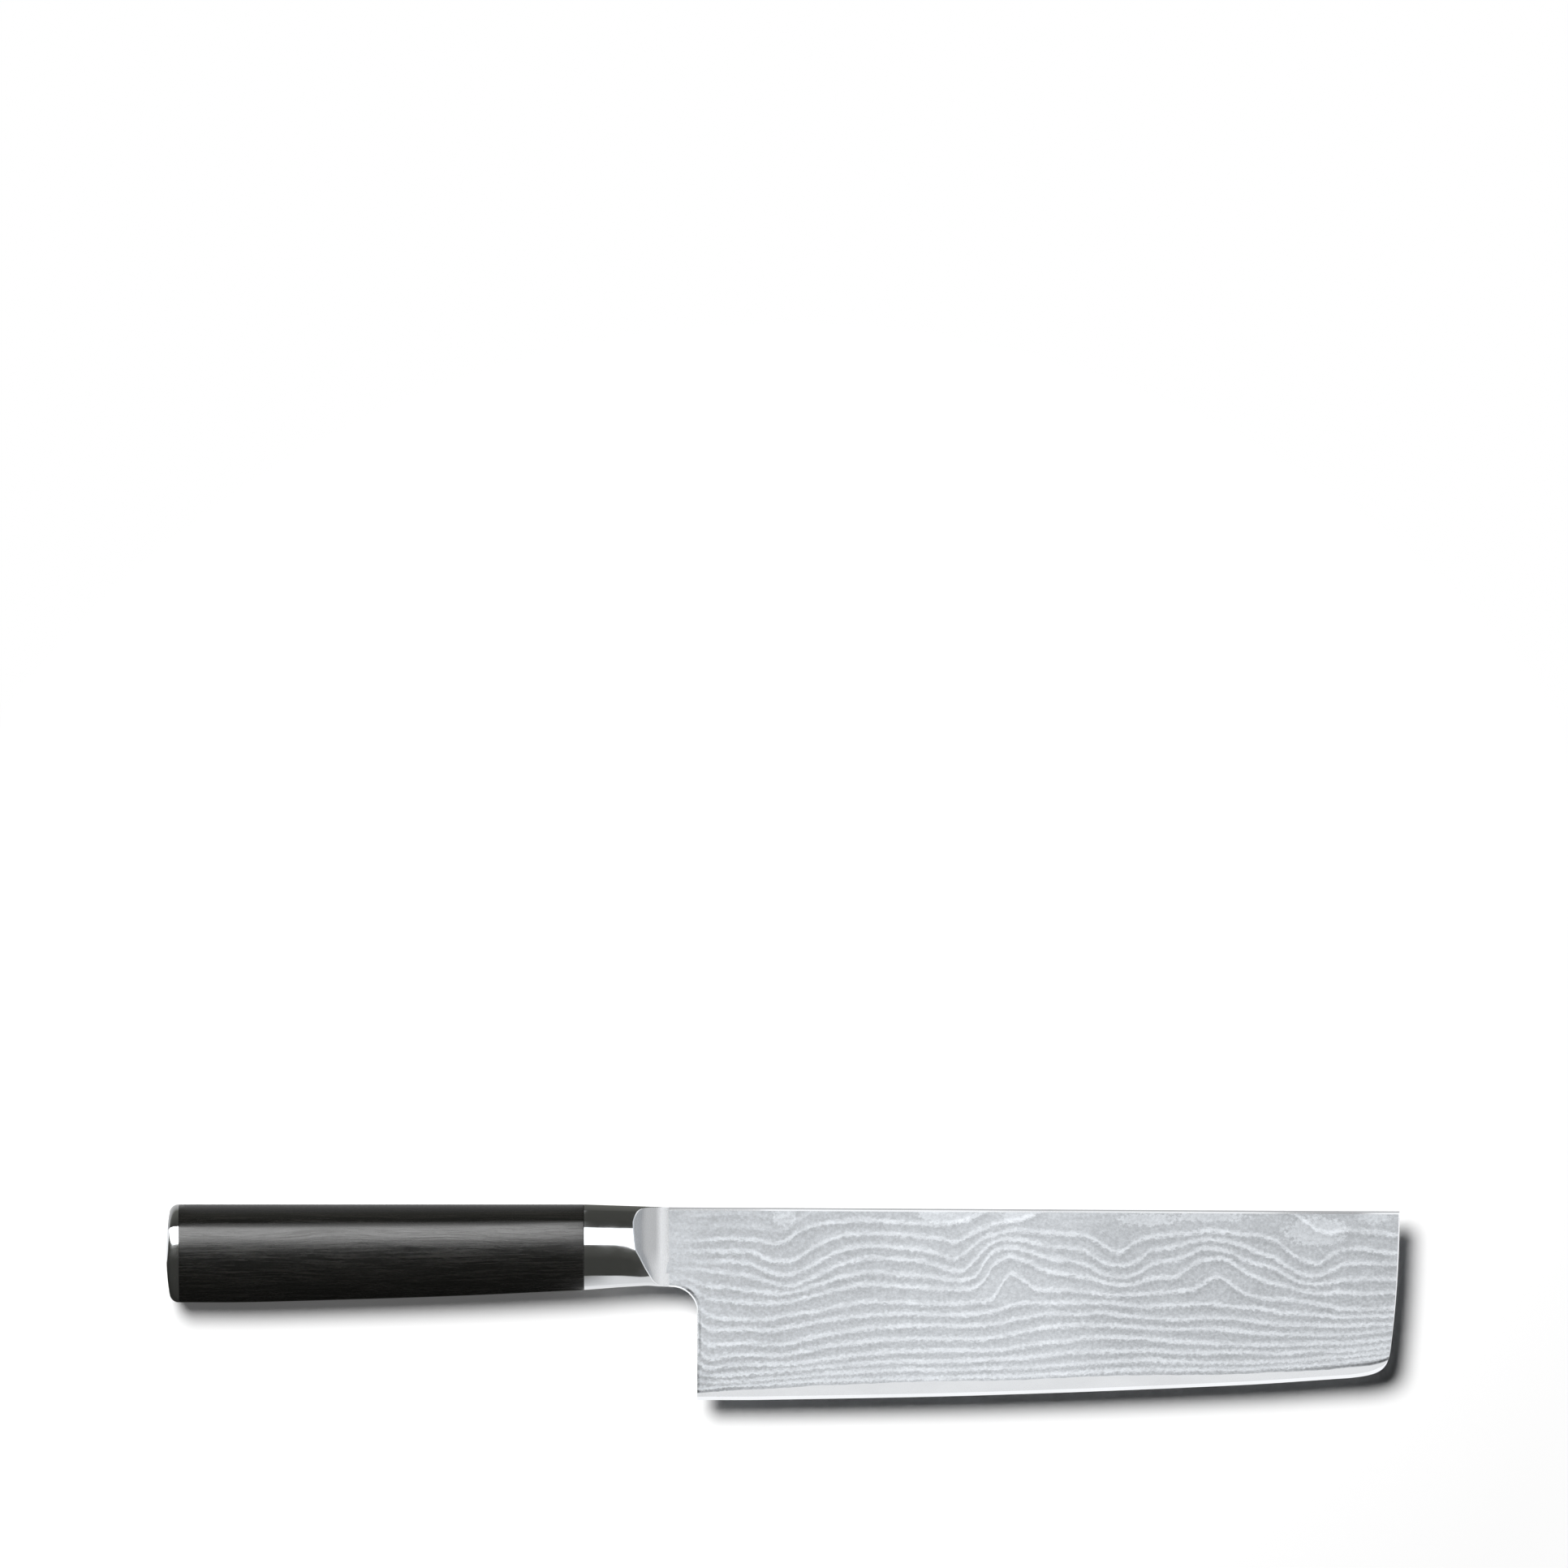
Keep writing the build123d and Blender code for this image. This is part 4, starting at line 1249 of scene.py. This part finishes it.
tent_radius = 60.0 * mm
tent_edge, glow_width = 99.0, 13.0
handle_middle = top_y - 10.5 * mm
cap_tones = (0.13, 0.045, 0.045, 6.0, 0.13, 0.05, 0.036, 0.0, 0.0)
wood_tones = (0.33, 0.06, 3.0, 5.85, 0.03, 0.03, 0.03, 0.0, 0.0)
bolster_tones = (0.07, 0.055, 0.055, 2.2, 0.105, 0.055, 0.055)
tent_stations = (
    # station, strip from and to, low cloth from, width of the halo, then the tones:
    # rear, near the strip, halo, strip, glow below it, shade, front, low and lowest
    (-450.0, 5.5, -22.3, -99.0, 9.0, *cap_tones),
    (-142.5, 5.5, -22.3, -99.0, 9.0, *cap_tones),
    (-140.0, -7.0, -20.0, -99.0, 40.0, *wood_tones),
    (-44.8, -7.0, -20.0, -99.0, 40.0, *wood_tones),
    (-43.7, -10.0, -25.7, -60.5, 9.0, *bolster_tones, 0.28, 0.8),
    (-39.6, -10.5, -25.8, -62.0, 9.0, *bolster_tones, 0.5, 0.83),
    (-37.5, -10.8, -26.1, -63.0, 9.0, *bolster_tones, 0.65, 0.85),
    (-35.5, -11.1, -26.7, -64.5, 9.0, *bolster_tones, 0.84, 0.88),
    (-33.7, -11.1, -27.6, -66.3, 9.0, *bolster_tones, 0.84, 0.88),
    (-32.5, -11.1, -29.2, -67.8, 9.0, *bolster_tones, 0.82, 0.86),
    (-31.0, -11.1, -32.0, -69.5, 9.0, *bolster_tones, 0.82, 0.86),
    (-28.5, -11.1, -36.0, -72.0, 9.0, *bolster_tones, 0.8, 0.85),
)
tent_steps = 12
tent_floor = 0.5 * mm
dim, warm = 0.3, 0.9
tent_finish, tree = bare_material("tent_cloth")
glow = tree.nodes.new("ShaderNodeEmission")
tone = tree.nodes.new("ShaderNodeAttribute")
tone.attribute_name = "tone"
tree.links.new(tone.outputs["Color"], glow.inputs["Color"])
tree.links.new(glow.outputs[0], tree.nodes["Material Output"].inputs["Surface"])


def stage_cloth(name, mesh, tones):
    """Cloth seen only in reflections, with a tone for each vertex; the dim ones are slightly warm."""
    data = bpy.data.meshes.new(name)
    mesh.to_mesh(data)
    mesh.free()
    data.materials.append(tent_finish)
    colors = [part for tone in tones for part in (tone, tone, tone * warm if tone < dim else tone, 1.0)]
    data.attributes.new("tone", "FLOAT_COLOR", "POINT").data.foreach_set("color", colors)
    cloth = placed(name, data)
    cloth.visible_camera = cloth.visible_diffuse = cloth.visible_shadow = False
    cloth.visible_transmission = cloth.visible_volume_scatter = False


tent, tones, rings = bmesh.new(), [], []
for x, strip_from, strip_to, low_from, halo, *row_tones in tent_stations:
    rear, near, edge, lamp_strip, glowing, shaded, front, low, lowest = row_tones
    stripes = (
        (tent_edge, strip_from + halo, rear, near),
        (strip_from + halo, strip_from, near, edge),
        (strip_from, strip_to, lamp_strip, lamp_strip),
        (strip_to, strip_to - glow_width, glowing, shaded),
        (strip_to - glow_width, low_from, shaded, front),
        (low_from, -tent_edge, low, lowest),
    )
    ring_stripes = []
    for first, last, first_tone, last_tone in stripes:
        row = []
        for k in range(tent_steps + 1):
            turn = math.radians(mix(first, last, k / tent_steps))
            y = handle_middle + tent_radius * math.sin(turn)
            z = max(middle_z + tent_radius * math.cos(turn), tent_floor)
            row.append(tent.verts.new((x * mm, y, z)))
            tones.append(mix(first_tone, last_tone, k / tent_steps))
        ring_stripes.append(row)
    rings.append(ring_stripes)
for first_ring, second_ring in zip(rings, rings[1:]):
    for first, second in zip(first_ring, second_ring):
        strip(tent, first, second)
stage_cloth("light_tent", tent, tones)

rear_reach, front_reach = handle_middle + tent_radius, handle_middle - tent_radius
tent_back, tent_front = tent_stations[0][0] * mm, tent_stations[-1][0] * mm
cap_front = -141.0 * mm
cloth_height = 0.3 * mm
dim_from = top_y + 25 * mm
card_tone, end_tone = 1.1, 0.35
cloths = (
    (tent_back, cap_front, ((front_reach, 0.03), (handle_middle, 0.03))),
    (tent_back, cap_front, ((handle_middle, 0.55), (top_y, 0.55), (dim_from, 0.2), (rear_reach, 0.09))),
    (cap_front, collar_x, ((front_reach, 0.03), (handle_middle, 0.03))),
    (cap_front, collar_x, ((handle_middle, 0.35), (rear_reach, 0.33))),
    (collar_x, tent_front, ((handle_middle, 0.15), (top_y, 0.14), (rear_reach, 0.07))),
)
table_cloth, tones = bmesh.new(), []
for x_from, x_to, bands in cloths:
    rows = []
    for x in (x_from, x_to):
        rows.append([table_cloth.verts.new((x, y, cloth_height)) for y, tone in bands])
        tones += [tone for y, tone in bands]
    strip(table_cloth, *rows)
stage_cloth("table_cloth", table_cloth, tones)


def stage_panel(name, corners, faces, tone):
    """Cloth or card of one tone, from its corners and the faces between them."""
    mesh = bmesh.new()
    points = [mesh.verts.new(corner) for corner in corners]
    for face in faces:
        mesh.faces.new([points[k] for k in face])
    stage_cloth(name, mesh, [tone] * len(corners))


card_corners = (
    (-146, 18.4, 0.5), (-146, 10, 0.5), (-445, -60, 0.5), (-445, -60, 120), (-445, 18, 120), (-445, 18, 0.5),
)
card_points = [Vector(corner) * mm for corner in card_corners]
stage_panel("white_card", card_points, ((0, 1, 2, 5), (2, 3, 4, 5)), card_tone)
end_top = 2 * tent_radius
end_corners = ((front_reach, 0.0), (rear_reach, 0.0), (rear_reach, end_top), (front_reach, end_top))
stage_panel("end_cloth", [(tent_back, *corner) for corner in end_corners], ((0, 1, 2, 3),), end_tone)

camera_height = 6.0
frame_pixels, frame_middle = 1932, 966
camera_data = bpy.data.cameras.new("camera")
camera_data.sensor_width = 36.0
camera_data.lens = camera_data.sensor_width * camera_height / (frame_pixels / picture_scale)
camera_data.clip_end = 50.0
camera = placed("camera", camera_data)
camera.location = (
    (frame_middle - picture_middle[0]) / picture_scale,
    (picture_middle[1] - frame_middle) / picture_scale,
    middle_z + camera_height,
)
bpy.context.scene.camera = camera
bpy.context.scene.view_settings.view_transform = "Standard"

bpy.context.view_layer.update()
